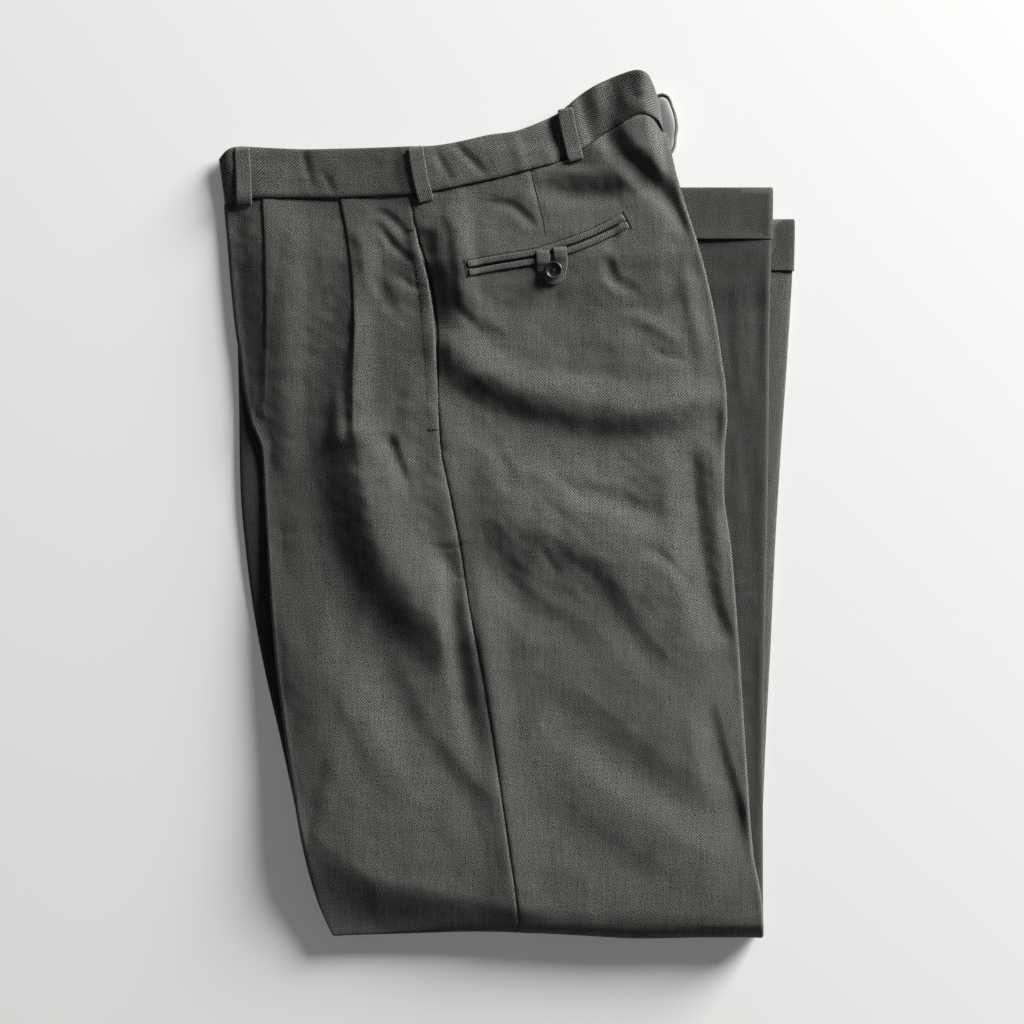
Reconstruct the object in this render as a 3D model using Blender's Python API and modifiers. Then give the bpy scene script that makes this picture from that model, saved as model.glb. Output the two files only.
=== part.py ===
# Pleated dress trousers, folded in profile on their creases and then once under at the knee.
# They lie flat: waist to +Y, front creases to -X, seat to +X, left side up. Lengths are in millimetres
# until the meshes are made. The origin is the middle of the bottom of the folded garment's box.
import math
from collections import namedtuple

import bpy
import bmesh
import numpy as np
from mathutils import Vector
from mathutils.bvhtree import BVHTree

# ---------------------------------------------------------------- sizes
MM = 0.001
WALL = 1.0                 # cloth wall
SEAM = 0.3                 # gap between sewn pieces
LAP = 2.4                  # a pressed fold, middle of one layer to middle of the other
NOSE = 1.1                 # how far a pressed fold's round reaches
BAND_WALL = 2.4            # waistband, two layers with its stiffening
PLEAT_PITCH = 1.6          # layer to layer in a pleat
CORE = 11.5                # height of the line that the knee fold turns about
STACK = 9.0                # height of the plane between the legs and their folded shins, away from the knee
FOLD_OUT = 11.0            # left outer panel, distance from the core
FOLD_IN = 0.9              # right outer panel, distance from the core
TABLE = 0.5                # middle of a layer that lies on the table
LOOP_WIDTH = 11.0
LOOP_ARCH = 1.6
WELT = 3.2
TAB_WIDTH, TAB_LENGTH = 21.0, 25.0
BUTTON_R, BUTTON_T, BUTTON_HOLE = 7.0, 2.6, 0.8
TURNUP = 39.0
HEM_RIGHT, HEM_LEFT = 238.3, 215.0

# Thighs, by height y on the folded garment: x of each edge and line.
Thigh = namedtuple("Thigh", "y front_edge crease pleat side_seam back_edge under_front")
THIGHS = [
    Thigh(305, -213.6, -187.0, -134.0, -75.4, 114.4, -211.6),
    Thigh(262, -213.6, -185.5, -130.0, -73.8, 122.8, -211.6),
    Thigh(231, -213.2, -184.1, -125.6, -72.4, 130.9, -211.2),
    Thigh(199, -210.7, -182.2, -119.6, -67.5, 141.2, -208.7),
    Thigh(165, -208.0, -181.4, -115.8, -59.0, 150.3, -206.0),
    Thigh(131, -204.4, -181.1, -114.8, -54.5, 157.2, -203.2),
    Thigh(112, -201.4, -181.3, -115.4, -53.6, 159.8, -202.6),
    Thigh(88, -198.6, -182.0, -115.9, -52.4, 163.3, -202.0),
    Thigh(64, -193.1, -183.6, -115.9, -51.3, 164.3, -201.6),
    Thigh(41, -184.8, -184.0, -115.0, -49.7, 162.4, -201.4),
    Thigh(11, -182.9, -182.9, -112.0, -43.7, 162.0, -200.6),
    Thigh(-34, -180.2, -180.2, -108.0, -35.0, 167.5, -196.7),
    Thigh(-79, -177.2, -177.2, -103.0, -28.2, 171.2, -190.9),
    Thigh(-124, -173.1, -173.1, -97.0, -19.5, 174.3, -182.5),
    Thigh(-169, -167.3, -167.3, -91.0, -12.0, 177.2, -172.1),
    Thigh(-214, -160.7, -160.7, -85.0, -5.2, 180.0, -162.0),
    Thigh(-259, -152.6, -152.6, -78.0, 1.4, 183.4, -152.2),
    Thigh(-296, -142.5, -142.5, -70.0, 6.6, 190.0, -142.1),
    Thigh(-325, -130.2, -130.2, -62.0, 9.6, 191.8, -130.2),
]

# Shins, folded under: x of the front and back crease of each leg.
Shin = namedtuple("Shin", "y right_front right_back left_front left_back")
SHINS = [
    Shin(238.5, -14.6, 198.2, 8.4, 215.2),
    Shin(198, -23.0, 197.6, -1.7, 214.8),
    Shin(175, -27.8, 197.2, -7.4, 214.0),
    Shin(116, -40.0, 196.1, -22.0, 210.6),
    Shin(41, -55.5, 195.5, -40.6, 205.5),
    Shin(-34, -71.0, 194.3, -59.2, 201.0),
    Shin(-109, -86.6, 192.8, -77.8, 197.6),
    Shin(-184, -102.1, 191.7, -96.4, 193.8),
    Shin(-259, -117.7, 191.4, -115.0, 191.4),
    Shin(-325, -131.0, 191.8, -131.0, 191.8),
]

# Waistband, from centre front to centre back: its seam edge and its top edge.
Band = namedtuple("Band", "seam_x seam_y top_x top_y")
BAND = [
    Band(-212.4, 226.6, -217.0, 260.0), Band(-206.0, 228.4, -211.0, 266.6), Band(-196.0, 230.4, -202.0, 269.4),
    Band(-184.1, 231.0, -187.0, 268.8), Band(-155.6, 230.9, -155.6, 267.2), Band(-125.6, 230.6, -125.6, 267.4),
    Band(-95.6, 231.8, -95.6, 267.9), Band(-72.4, 232.4, -74.6, 268.5), Band(-50.6, 235.5, -55.1, 268.9),
    Band(-28.1, 240.4, -34.9, 272.2), Band(-5.6, 245.2, -14.6, 276.8), Band(19.1, 251.7, 8.6, 280.5),
    Band(46.1, 258.8, 36.4, 292.5), Band(56.6, 266.2, 44.6, 298.5), Band(68.6, 275.2, 54.4, 306.8),
    Band(82.9, 283.5, 67.9, 315.0), Band(94.4, 290.6, 84.4, 322.0), Band(101.6, 292.6, 96.4, 325.0),
    Band(107.6, 290.8, 103.9, 322.6), Band(112.9, 286.1, 108.4, 316.0), Band(116.6, 278.6, 114.0, 301.0),
]

# Lower edge of the knee fold.
Knee = namedtuple("Knee", "x y")
KNEE = [Knee(-131, -323.3), Knee(-62.6, -321.2), Knee(-24.4, -320.2), Knee(9.4, -320.9), Knee(56.6, -323.3),
        Knee(100, -325.4), Knee(152, -324.6), Knee(191.6, -324.8)]

# How far the left outer panel stands above the right outer panel, in the middle and at the edges.
Loft = namedtuple("Loft", "y middle edge")
LOFTS = [Loft(330, 7.5, 6.9), Loft(231, 7.7, 7.0), Loft(195, 9.4, 7.0), Loft(150, 10.6, 7.0), Loft(60, 11.0, 7.0),
         Loft(-150, 11.0, 7.4), Loft(-230, 10.9, 8.4), Loft(-290, 10.4, 9.6), Loft(-330, 10.1, 10.1)]

# Largest folds of the cloth: half width, height (minus for a trough) and the line each one follows.
Fold = namedtuple("Fold", "name half_width height line")
FOLDS = [
    Fold("below_pleat", 15, -3.4, [(-146, 131), (-147, 79), (-142, 41), (-126, 4), (-110, -46), (-92, -82), (-60, -108)]),
    Fold("below_pleat_tail", 15, -1.5, [(-108, -92), (-88, -142), (-65, -191), (-25, -224)]),
    Fold("beside_pleat", 13, 2.6, [(-114, 116), (-108, 70), (-104, 9), (-85, -22), (-70, -52)]),
    Fold("beside_side_seam", 12, -1.8, [(-33, -113), (-24, -171), (-18, -198), (2, -270)]),
    Fold("below_pocket_ridge", 14, 2.2, [(-50, 138), (-18, 121), (22, 108), (58, 92), (102, 81), (144, 81)]),
    Fold("below_pocket_trough", 13, -2.2, [(-40, 104), (-18, 101), (22, 71), (62, 62), (102, 64), (150, 70)]),
    Fold("seat_edge", 12, -2.2, [(139, 22), (144, -2), (151, -58), (160, -95)]),
    Fold("back_upper", 14, -2.0, [(-10, -30), (2, -58), (22, -82), (45, -92), (65, -112)]),
    Fold("back_middle", 13, -1.8, [(22, -28), (58, -45), (78, -68), (98, -101), (118, -115)]),
    Fold("back_lower", 14, -2.2, [(32, -154), (69, -171), (102, -198), (138, -217), (174, -242)]),
]

# Belt loops: foot and head of each one on the waistband.
Loop = namedtuple("Loop", "name side foot head")
LOOPS = [
    Loop("belt_loop_left_front", 1, (-197.6, 224.5), (-199.5, 268.5)),
    Loop("belt_loop_left_side", 1, (-60.6, 226.5), (-69.0, 268.0)),
    Loop("belt_loop_left_back", 1, (51.5, 257.0), (43.0, 296.5)),
    Loop("belt_loop_right_front", -1, (-194.0, 234.0), (-196.0, 264.5)),
    Loop("belt_loop_right_side", -1, (-64.0, 237.5), (-69.0, 265.5)),
    Loop("belt_loop_right_back", -1, (52.5, 267.5), (44.5, 293.0)),
]
CENTRE_LOOP = [(117.8, 306.0), (120.8, 304.6), (123.8, 299.5), (126.4, 291.0), (128.0, 281.0), (127.9, 272.0), (126.0, 266.5)]

# Back pocket: the line of its opening, from the side to the seat, and the button.
POCKET = [(-30.4, 178.3), (21.4, 187.2), (46.9, 195.0), (90.4, 218.0)]
TAB_TOP = (32.6, 191.0)
BUTTON = (34.4, 175.2)


# ---------------------------------------------------------------- curves and levels
def smooth(a, b, v):
    t = np.clip((np.asarray(v, float) - a) / (b - a), 0.0, 1.0)
    return t * t * (3 - 2 * t)


def reader(rows, column, key="y"):
    """A smooth curve through one column of a table, with no overshoot between its rows."""
    pairs = sorted((getattr(r, key), getattr(r, column)) for r in rows)
    xs = np.array([p[0] for p in pairs], float)
    ys = np.array([p[1] for p in pairs], float)
    h = np.diff(xs)
    s = np.diff(ys) / h
    m = np.zeros_like(ys)
    m[0], m[-1] = s[0], s[-1]
    for i in range(1, len(ys) - 1):
        if s[i - 1] * s[i] > 0:
            w1, w2 = 2 * h[i] + h[i - 1], h[i] + 2 * h[i - 1]
            m[i] = (w1 + w2) / (w1 / s[i - 1] + w2 / s[i])

    def read(v):
        v = np.clip(np.asarray(v, float), xs[0], xs[-1])
        i = np.clip(np.searchsorted(xs, v) - 1, 0, len(xs) - 2)
        t = (v - xs[i]) / h[i]
        return ((1 + 2 * t) * (1 - t) ** 2 * ys[i] + t * (1 - t) ** 2 * h[i] * m[i]
                + t * t * (3 - 2 * t) * ys[i + 1] + t * t * (t - 1) * h[i] * m[i + 1])
    return read


front_edge = reader(THIGHS, "front_edge")
crease = reader(THIGHS, "crease")
pleat = reader(THIGHS, "pleat")
side_seam = reader(THIGHS, "side_seam")
back_edge = reader(THIGHS, "back_edge")
under_front = reader(THIGHS, "under_front")
right_front_x = reader(SHINS, "right_front")
right_back_x = reader(SHINS, "right_back")
left_front_x = reader(SHINS, "left_front")
left_back_x = reader(SHINS, "left_back")
knee_y = reader(KNEE, "y", "x")
loft_middle = reader(LOFTS, "middle")
loft_edge = reader(LOFTS, "edge")


def waist_y(x):
    return np.interp(x, [b.seam_x for b in BAND], [b.seam_y for b in BAND])


def seam_share(y):
    """Where the side seam runs across a shin, from its front crease."""
    return 0.435 + 0.02 * smooth(-325, 238, y)


def stack(y):
    """Height of the plane between thighs and shins: it rises towards the knee, where the fold is thickest."""
    return STACK + (CORE - STACK) * smooth(-140, -296, y)


def left_out(y):                     # left outer shin, on the table
    return TABLE + 1.5 * smooth(150, 170, y)


def left_in(y):                      # left inner shin
    return TABLE + LAP + 1.3 * smooth(150, 170, y)


def right_in(y):                     # right inner shin
    return stack(y) - FOLD_IN - LAP + 1.5 * smooth(145, 168, y) + 1.5 * smooth(172, 194, y)


def right_out(y):                    # right outer shin
    return stack(y) - FOLD_IN + 1.8 * smooth(145, 168, y) + 0.9 * smooth(172, 194, y)


def inside_shins(x, y):
    """Distance inwards from the outline of the shins that lie below."""
    a, b = x - right_front_x(y), HEM_RIGHT - y
    k = np.clip(0.5 + 0.5 * (b - a) / 24.0, 0, 1)
    return b * (1 - k) + a * k - 24.0 * k * (1 - k)


def on_shins(x, y):
    """1 over the shins that lie below, easing to 0 on the table beside and beyond them."""
    return smooth(-80, -24, inside_shins(x, y))


def right_level(x, y):
    """Middle of the right outer panel over thigh and seat."""
    top = stack(y) + FOLD_IN + 1.8 * smooth(145, 168, y) + 2.1 * smooth(168, 190, y)
    return TABLE + (top - TABLE) * on_shins(x, y)


def left_base(x, y):
    """What the left leg is lofted from: it comes down from the shins more gently than the right leg."""
    top = stack(y) + FOLD_IN + 1.8 * smooth(145, 168, y) + 2.1 * smooth(168, 190, y)
    return TABLE + (top - TABLE) * np.maximum(on_shins(x, y), smooth(-175, -5, inside_shins(x, y)))


def folds(x, y):
    x, y = np.broadcast_arrays(np.asarray(x, float), np.asarray(y, float))
    total = np.zeros(x.shape)
    for f in FOLDS:
        pts = np.array(f.line, float)
        seg = np.diff(pts, axis=0)
        ln = np.hypot(seg[:, 0], seg[:, 1])
        run = np.concatenate([[0], np.cumsum(ln)])
        best = np.full(x.shape, 1e9)
        at = np.zeros(x.shape)
        for i in range(len(seg)):
            t = np.clip(((x - pts[i, 0]) * seg[i, 0] + (y - pts[i, 1]) * seg[i, 1]) / ln[i] ** 2, 0, 1)
            d = np.hypot(x - pts[i, 0] - t * seg[i, 0], y - pts[i, 1] - t * seg[i, 1])
            near = d < best
            best = np.where(near, d, best)
            at = np.where(near, run[i] + t * ln[i], at)
        s = at / run[-1]
        ends = (0.15 + 0.85 * smooth(0, 0.3, s)) * (0.15 + 0.85 * smooth(0, 0.3, 1 - s))
        total += f.height * ends * np.clip(1 - (best / f.half_width) ** 2, 0, 1) ** 2
    return total


def left_level(x, y):
    """Middle of the left outer panel over thigh and seat."""
    edge = np.minimum(x - front_edge(y), back_edge(y) - x)
    rise = smooth(0, 45, edge)
    quiet = smooth(2, 22, edge)
    return (left_base(x, y) + loft_edge(y) + (loft_middle(y) - loft_edge(y)) * rise + folds(x, y) * quiet)


# ---------------------------------------------------------------- stations along the legs
Station = namedtuple("Station", "arm y slope turn")
THIGH_ROWS = [231, 219, 203, 184, 162, 138, 129, 120, 104, 74, 38, -4, -50, -100, -150, -190, -224, -256, -288]
TURNS = [0, 45, 90, 135, 180]


def stations(shin_rows):
    out = []
    for y in THIGH_ROWS:
        out.append(Station("thigh", y, min(1.0, max(0.0, (y - 60) / (231 - 60))), 0))
    out += [Station("knee", 0, 0, math.radians(a)) for a in TURNS]
    out += [Station("shin", y, 0, 0) for y in shin_rows]
    return out


Column = namedtuple("Column", "thigh shin lap dip")
# thigh and shin give x from y; lap is 0 on the outer layer and 1 on the layer folded behind; dip lowers a pleat's layer


def thigh_point(st, col, level, lap_height):
    x = float(col.thigh(st.y))
    y = st.y
    for _ in range(4):
        y = st.y + st.slope * (float(waist_y(x)) - 231.0) - (SEAM if st.y > 230 else 0)
        x = float(col.thigh(y))
    z = float(level(x, y)) + lap_height * col.lap - (col.dip(y) if col.dip else 0.0)
    return x, y, z


def leg_sheet(columns, shin_rows, level, lap_height, knee_out, knee_lap, shin_out, shin_in):
    """Points of one panel: rows from the waist over the thigh, round the knee fold and along the shin.
    Each row comes with the direction that points out of the folded garment there."""
    grid = []
    for st in stations(shin_rows):
        row = []
        turn = {"thigh": 0.0, "shin": math.pi}.get(st.arm, st.turn)
        for col in columns:
            if st.arm == "thigh":
                row.append(thigh_point(st, col, level, lap_height))
            elif st.arm == "knee":
                h = knee_out + knee_lap * col.lap
                x = 0.0
                for _ in range(4):
                    centre = float(knee_y(x)) + FOLD_OUT + WALL / 2
                    y = centre - h * math.sin(st.turn)
                    x = float((col.thigh if st.turn <= math.pi / 2 else col.shin)(y))
                row.append((x, y, CORE + h * math.cos(st.turn)))
            else:
                y = st.y
                row.append((float(col.shin(y)), y, float(shin_out(y) + (shin_in(y) - shin_out(y)) * col.lap)))
        grid.append((row, (0.0, -math.sin(turn), math.cos(turn))))
    return grid


# ---------------------------------------------------------------- making objects
def clear():
    for ob in list(bpy.data.objects):
        bpy.data.objects.remove(ob, do_unlink=True)


def collection(name):
    c = bpy.data.collections.get(name) or bpy.data.collections.new(name)
    if c.name not in bpy.context.scene.collection.children:
        bpy.context.scene.collection.children.link(c)
    return c


def material(name, colour, roughness, metallic=0.0):
    m = bpy.data.materials.new(name)
    m.use_nodes = True
    b = m.node_tree.nodes["Principled BSDF"]
    b.inputs["Base Color"].default_value = (*colour, 1)
    b.inputs["Roughness"].default_value = roughness
    b.inputs["Metallic"].default_value = metallic
    m.diffuse_color = (*colour, 1)
    return m


def place(name, mesh, mat):
    ob = bpy.data.objects.new(name, mesh)
    ob.data.materials.append(mat)
    GARMENT.objects.link(ob)
    return ob


def loft(name, grid, mat, wall=None, ring=False, capped=False, skip=()):
    """A skin through rows of points; with a wall it becomes cloth, capped it becomes a solid."""
    bm = bmesh.new()
    rows = [[bm.verts.new((p[0] * MM, p[1] * MM, p[2] * MM)) for p in row] for row in grid]
    n = len(rows[0])
    for i in range(len(rows) - 1):
        for j in range(n if ring else n - 1):
            if (i, j) in skip:
                continue
            k = (j + 1) % n
            bm.faces.new((rows[i][j], rows[i][k], rows[i + 1][k], rows[i + 1][j]))
    if capped:
        bm.faces.new(rows[0][::-1])
        bm.faces.new(rows[-1])
    bmesh.ops.recalc_face_normals(bm, faces=bm.faces)
    mesh = bpy.data.meshes.new(name)
    bm.to_mesh(mesh)
    bm.free()
    ob = place(name, mesh, mat)
    if wall:
        m = ob.modifiers.new("cloth", "SOLIDIFY")
        m.thickness = wall * MM
        m.offset = 0.0
        m.use_even_offset = True
        m.use_quality_normals = True
    mesh.shade_smooth()
    mesh.set_sharp_from_angle(angle=math.radians(50))
    return ob


def cloth(name, sheet, mat):
    """A panel: every row is a line across the leg, given its wall in the plane of that row."""
    sides = ([], [])
    for row, out in sheet:
        flat = [(p[0], p[1] * out[1] + p[2] * out[2] if abs(out[1]) > 1e-6 else p[2] * out[2]) for p in row]
        normals = []
        for a, b in zip(flat, flat[1:]):
            ln = math.hypot(b[0] - a[0], b[1] - a[1])
            normals.append((-(b[1] - a[1]) / ln, (b[0] - a[0]) / ln))
        for j, p in enumerate(row):
            n1, n2 = normals[max(0, j - 1)], normals[min(len(normals) - 1, j)]
            k = max(0.62, 1 + n1[0] * n2[0] + n1[1] * n2[1])
            mx, mh = (n1[0] + n2[0]) / k, (n1[1] + n2[1]) / k
            for side, w in zip(sides, (WALL / 2, -WALL / 2)):
                if j == 0:
                    side.append([])
                side[-1].append(((p[0] + w * mx) * MM, (p[1] + w * mh * out[1]) * MM, (p[2] + w * mh * out[2]) * MM))
    bm = bmesh.new()
    top, low = [[[bm.verts.new(q) for q in row] for row in side] for side in sides]
    last, end = len(top) - 1, len(top[0]) - 1
    for i in range(last):
        for j in range(end):
            bm.faces.new((top[i][j], top[i][j + 1], top[i + 1][j + 1], top[i + 1][j]))
            bm.faces.new((low[i][j], low[i + 1][j], low[i + 1][j + 1], low[i][j + 1]))
        bm.faces.new((top[i][0], top[i + 1][0], low[i + 1][0], low[i][0]))
        bm.faces.new((top[i][end], low[i][end], low[i + 1][end], top[i + 1][end]))
    for j in range(end):
        bm.faces.new((top[0][j], low[0][j], low[0][j + 1], top[0][j + 1]))
        bm.faces.new((top[last][j], top[last][j + 1], low[last][j + 1], low[last][j]))
    bmesh.ops.recalc_face_normals(bm, faces=bm.faces)
    mesh = bpy.data.meshes.new(name)
    bm.to_mesh(mesh)
    bm.free()
    ob = place(name, mesh, mat)
    mesh.shade_smooth()
    mesh.set_sharp_from_angle(angle=math.radians(50))
    return ob


def tree(ob):
    bpy.context.view_layer.update()
    return BVHTree.FromObject(ob, bpy.context.evaluated_depsgraph_get())


def height(trees, x, y, down=True):
    """Highest (or, looked at from below, lowest) point of the pieces at x, y."""
    found = []
    for t in trees:
        hit = t.ray_cast(Vector((x * MM, y * MM, 1.0 if down else -1.0)), Vector((0, 0, -1.0 if down else 1.0)))
        if hit[0] is not None:
            found.append(hit[0].z / MM)
    if not found:
        return None
    return max(found) if down else min(found)


def resample(points, n):
    p = np.array(points, float)
    run = np.concatenate([[0], np.cumsum(np.hypot(*np.diff(p, axis=0).T))])
    s = np.linspace(0, run[-1], n)
    return np.stack([np.interp(s, run, p[:, 0]), np.interp(s, run, p[:, 1])], axis=1)


# ---------------------------------------------------------------- panel columns
def pleat_columns(x0, shin, depth, step):
    """A forward pleat: the right-hand cloth folds under at x0, turns back and goes on to the left below."""
    p = PLEAT_PITCH
    out = []
    for i, (wall_x, wall_z) in enumerate([(-6.0, 2 * p), (-3.6, 1.5 * p), (-2.4, p), (-1.2, 0.5 * p), (0.0, 0.0)]):
        def thigh(y, i=i, wall_x=wall_x):
            d = float(depth(y))
            b = min(1.0, max(0.0, (3.0 - d) / 3.0))
            sharp = [-3.0, d, d, 0.0, 0.0][i]
            return x0(y) + (1 - b) * sharp + b * wall_x

        def dip(y, i=i, wall_z=wall_z):
            d = float(depth(y))
            b = min(1.0, max(0.0, (3.0 - d) / 3.0))
            sharp = [2 * p, 2 * p, p, p, 0.0][i]
            return float(step(y)) * ((1 - b) * sharp + b * wall_z)
        out.append((thigh, dip))
    out.append((lambda y: x0(y) + np.maximum(depth(y), 0.0) + 1.6, None))
    return out


def blend_low(f, g):
    """Over the last stretch of thigh the columns ease into even spacing, as on the shin."""
    return lambda y: f(y) + (g(y) - f(y)) * smooth(-120, -312, y)


def left_front_columns():
    def x1(y):
        return np.maximum(crease(y), front_edge(y) + 12.0)

    def inner_depth(y):
        return 25.0 - 19.0 * smooth(40, 70, y) - 13.0 * smooth(-110, -160, y)

    def deeper(y):
        return 0.8 * float(smooth(40, 80, y))
    cols = []

    def shin_at(share):
        return lambda y: left_front_x(y) + NOSE + share * (seam_share(y) * (left_back_x(y) - left_front_x(y)) - NOSE - SEAM / 2)

    def shin_inner(y):
        full = 0.5 * (left_back_x(y) - left_front_x(y)) - SEAM / 2
        return left_front_x(y) + 25.0 + (full - 25.0) * smooth(142, 158, y)
    cols.append(Column(lambda y: front_edge(y) + inner_depth(y), shin_inner, 1.0, deeper))
    cols.append(Column(lambda y: front_edge(y) + 0.5 * inner_depth(y), lambda y: 0.5 * (left_front_x(y) + NOSE) + 0.5 * shin_inner(y), 1.0, deeper))
    cols.append(Column(lambda y: front_edge(y) + NOSE, lambda y: left_front_x(y) + NOSE, 1.0, deeper))
    cols.append(Column(lambda y: front_edge(y), lambda y: left_front_x(y), 0.5, lambda y: deeper(y) / 2))
    cols.append(Column(lambda y: front_edge(y) + NOSE, lambda y: left_front_x(y) + NOSE, 0.0, None))

    spec = []
    step1 = lambda y: smooth(40, 96, y)
    step2 = lambda y: smooth(10, 92, y)
    spec.append((lambda y: 0.7 * front_edge(y) + 0.3 * x1(y), lambda y: 0.8 * PLEAT_PITCH * float(step1(y))))
    spec += pleat_columns(x1, None, lambda y: 11.0 * smooth(100, 215, y), step1)
    for share, low in ((0.30, 0.0), (0.60, 0.15), (0.84, 0.62)):
        spec.append((lambda y, s=share: x1(y) + 11.0 + s * (pleat(y) - x1(y) - 11.0 - 5.0),
                     lambda y, low=low: low * 2 * PLEAT_PITCH * float(step2(y))))
    spec += pleat_columns(pleat, None, lambda y: 15.0 * smooth(96, 205, y), step2)
    for share in (0.45, 0.72, 1.0):
        spec.append((lambda y, s=share: pleat(y) + s * (side_seam(y) - SEAM / 2 - pleat(y)) + (1 - s) * 8.0 * smooth(96, 205, y), None))
    for i, (thigh, dip) in enumerate(spec):
        share = (i + 1) / len(spec)
        cols.append(Column(blend_low(thigh, lambda y, s=share: front_edge(y) + NOSE + s * (side_seam(y) - SEAM / 2 - front_edge(y) - NOSE)),
                           shin_at(share), 0.0, dip))
    return cols


def pocket_gape(y):
    return 2.4 * smooth(214, 184, y) * smooth(72, 130, y)


def left_back_columns():
    cols = []

    def start(y):
        return side_seam(y) + SEAM / 2 + pocket_gape(y)

    def shin_start(y):
        return left_front_x(y) + seam_share(y) * (left_back_x(y) - left_front_x(y)) + SEAM / 2
    for share in (0.0, 0.13, 0.27, 0.4, 0.52, 0.623, 0.74, 0.877, 0.947):
        cols.append(Column(lambda y, s=share: start(y) + s * (back_edge(y) - NOSE - start(y)),
                           lambda y, s=share: shin_start(y) + s * (left_back_x(y) - NOSE - shin_start(y)), 0.0, None))
    cols.append(Column(lambda y: back_edge(y) - NOSE, lambda y: left_back_x(y) - NOSE, 0.0, None))
    cols.append(Column(lambda y: back_edge(y), lambda y: left_back_x(y), 0.5, None))
    cols.append(Column(lambda y: back_edge(y) - NOSE, lambda y: left_back_x(y) - NOSE, 1.0, None))

    def inner(y):
        return back_edge(y) - 25.0 - 15.0 * smooth(-200, -310, y) + 13.0 * smooth(225, 250, y)

    def shin_inner(y):
        full = 0.5 * (left_back_x(y) - left_front_x(y)) - SEAM / 2
        return left_back_x(y) - 40.0 - (full - 40.0) * smooth(142, 158, y)
    cols.append(Column(inner, shin_inner, 1.0, None))
    return cols


RIGHT_FRONT_SHARES = (0.25, 0.5, 0.75, 1.0)
RIGHT_BACK_SHARES = (0.0, 0.1, 0.2, 0.32, 0.45, 0.6, 0.76, 0.9)


def right_turn_under(y):
    return 42.0 - 17.0 * smooth(-100, -220, y)


def right_front_columns():
    depth = right_turn_under

    def shin_inner(y):
        full = 0.5 * (right_back_x(y) - right_front_x(y)) - SEAM / 2
        return right_front_x(y) + 25.0 + (full - 25.0) * smooth(142, 158, y)
    cols = [Column(lambda y: under_front(y) + depth(y), shin_inner, 1.0, None),
            Column(lambda y: under_front(y) + 0.6 * depth(y), lambda y: 0.4 * (right_front_x(y) + NOSE) + 0.6 * shin_inner(y), 1.0, None),
            Column(lambda y: under_front(y) + 0.25 * depth(y), lambda y: 0.75 * (right_front_x(y) + NOSE) + 0.25 * shin_inner(y), 1.0, None),
            Column(lambda y: under_front(y) + NOSE, lambda y: right_front_x(y) + NOSE, 1.0, None),
            Column(lambda y: under_front(y), lambda y: right_front_x(y), 0.5, None),
            Column(lambda y: under_front(y) + NOSE, lambda y: right_front_x(y) + NOSE, 0.0, None)]
    for share in (0.25, 0.6, 1.0):
        cols.append(Column(lambda y, s=share: under_front(y) + s * depth(y), lambda y, s=share: right_front_x(y) + s * 25.0, 0.0, None))
    for share in RIGHT_FRONT_SHARES:
        cols.append(Column(
            lambda y, s=share: under_front(y) + depth(y) + s * (side_seam(y) - SEAM / 2 - under_front(y) - depth(y)),
            lambda y, s=share: right_front_x(y) + 25.0 + s * (seam_share(y) * (right_back_x(y) - right_front_x(y)) - SEAM / 2 - 25.0),
            0.0, None))
    return cols


def right_back_columns():
    def edge(y):
        return back_edge(y) - 1.8 * smooth(-300, -260, y)

    def shin_start(y):
        return right_front_x(y) + seam_share(y) * (right_back_x(y) - right_front_x(y)) + SEAM / 2
    cols = []
    for share in RIGHT_BACK_SHARES:
        cols.append(Column(
            lambda y, s=share: side_seam(y) + SEAM / 2 + s * (edge(y) - NOSE - side_seam(y)),
            lambda y, s=share: shin_start(y) + s * (right_back_x(y) - NOSE - shin_start(y)), 0.0, None))
    cols.append(Column(lambda y: edge(y) - NOSE, lambda y: right_back_x(y) - NOSE, 0.0, None))
    cols.append(Column(lambda y: edge(y), lambda y: right_back_x(y), 0.5, None))
    cols.append(Column(lambda y: edge(y) - NOSE, lambda y: right_back_x(y) - NOSE, 1.0, None))

    def shin_inner(y):
        full = 0.5 * (right_back_x(y) - right_front_x(y)) - SEAM / 2
        return right_back_x(y) - 25.0 - (full - 25.0) * smooth(142, 158, y)
    cols.append(Column(lambda y: edge(y) - 25.0 + 13.0 * smooth(225, 250, y), shin_inner, 1.0, None))
    return cols


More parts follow.
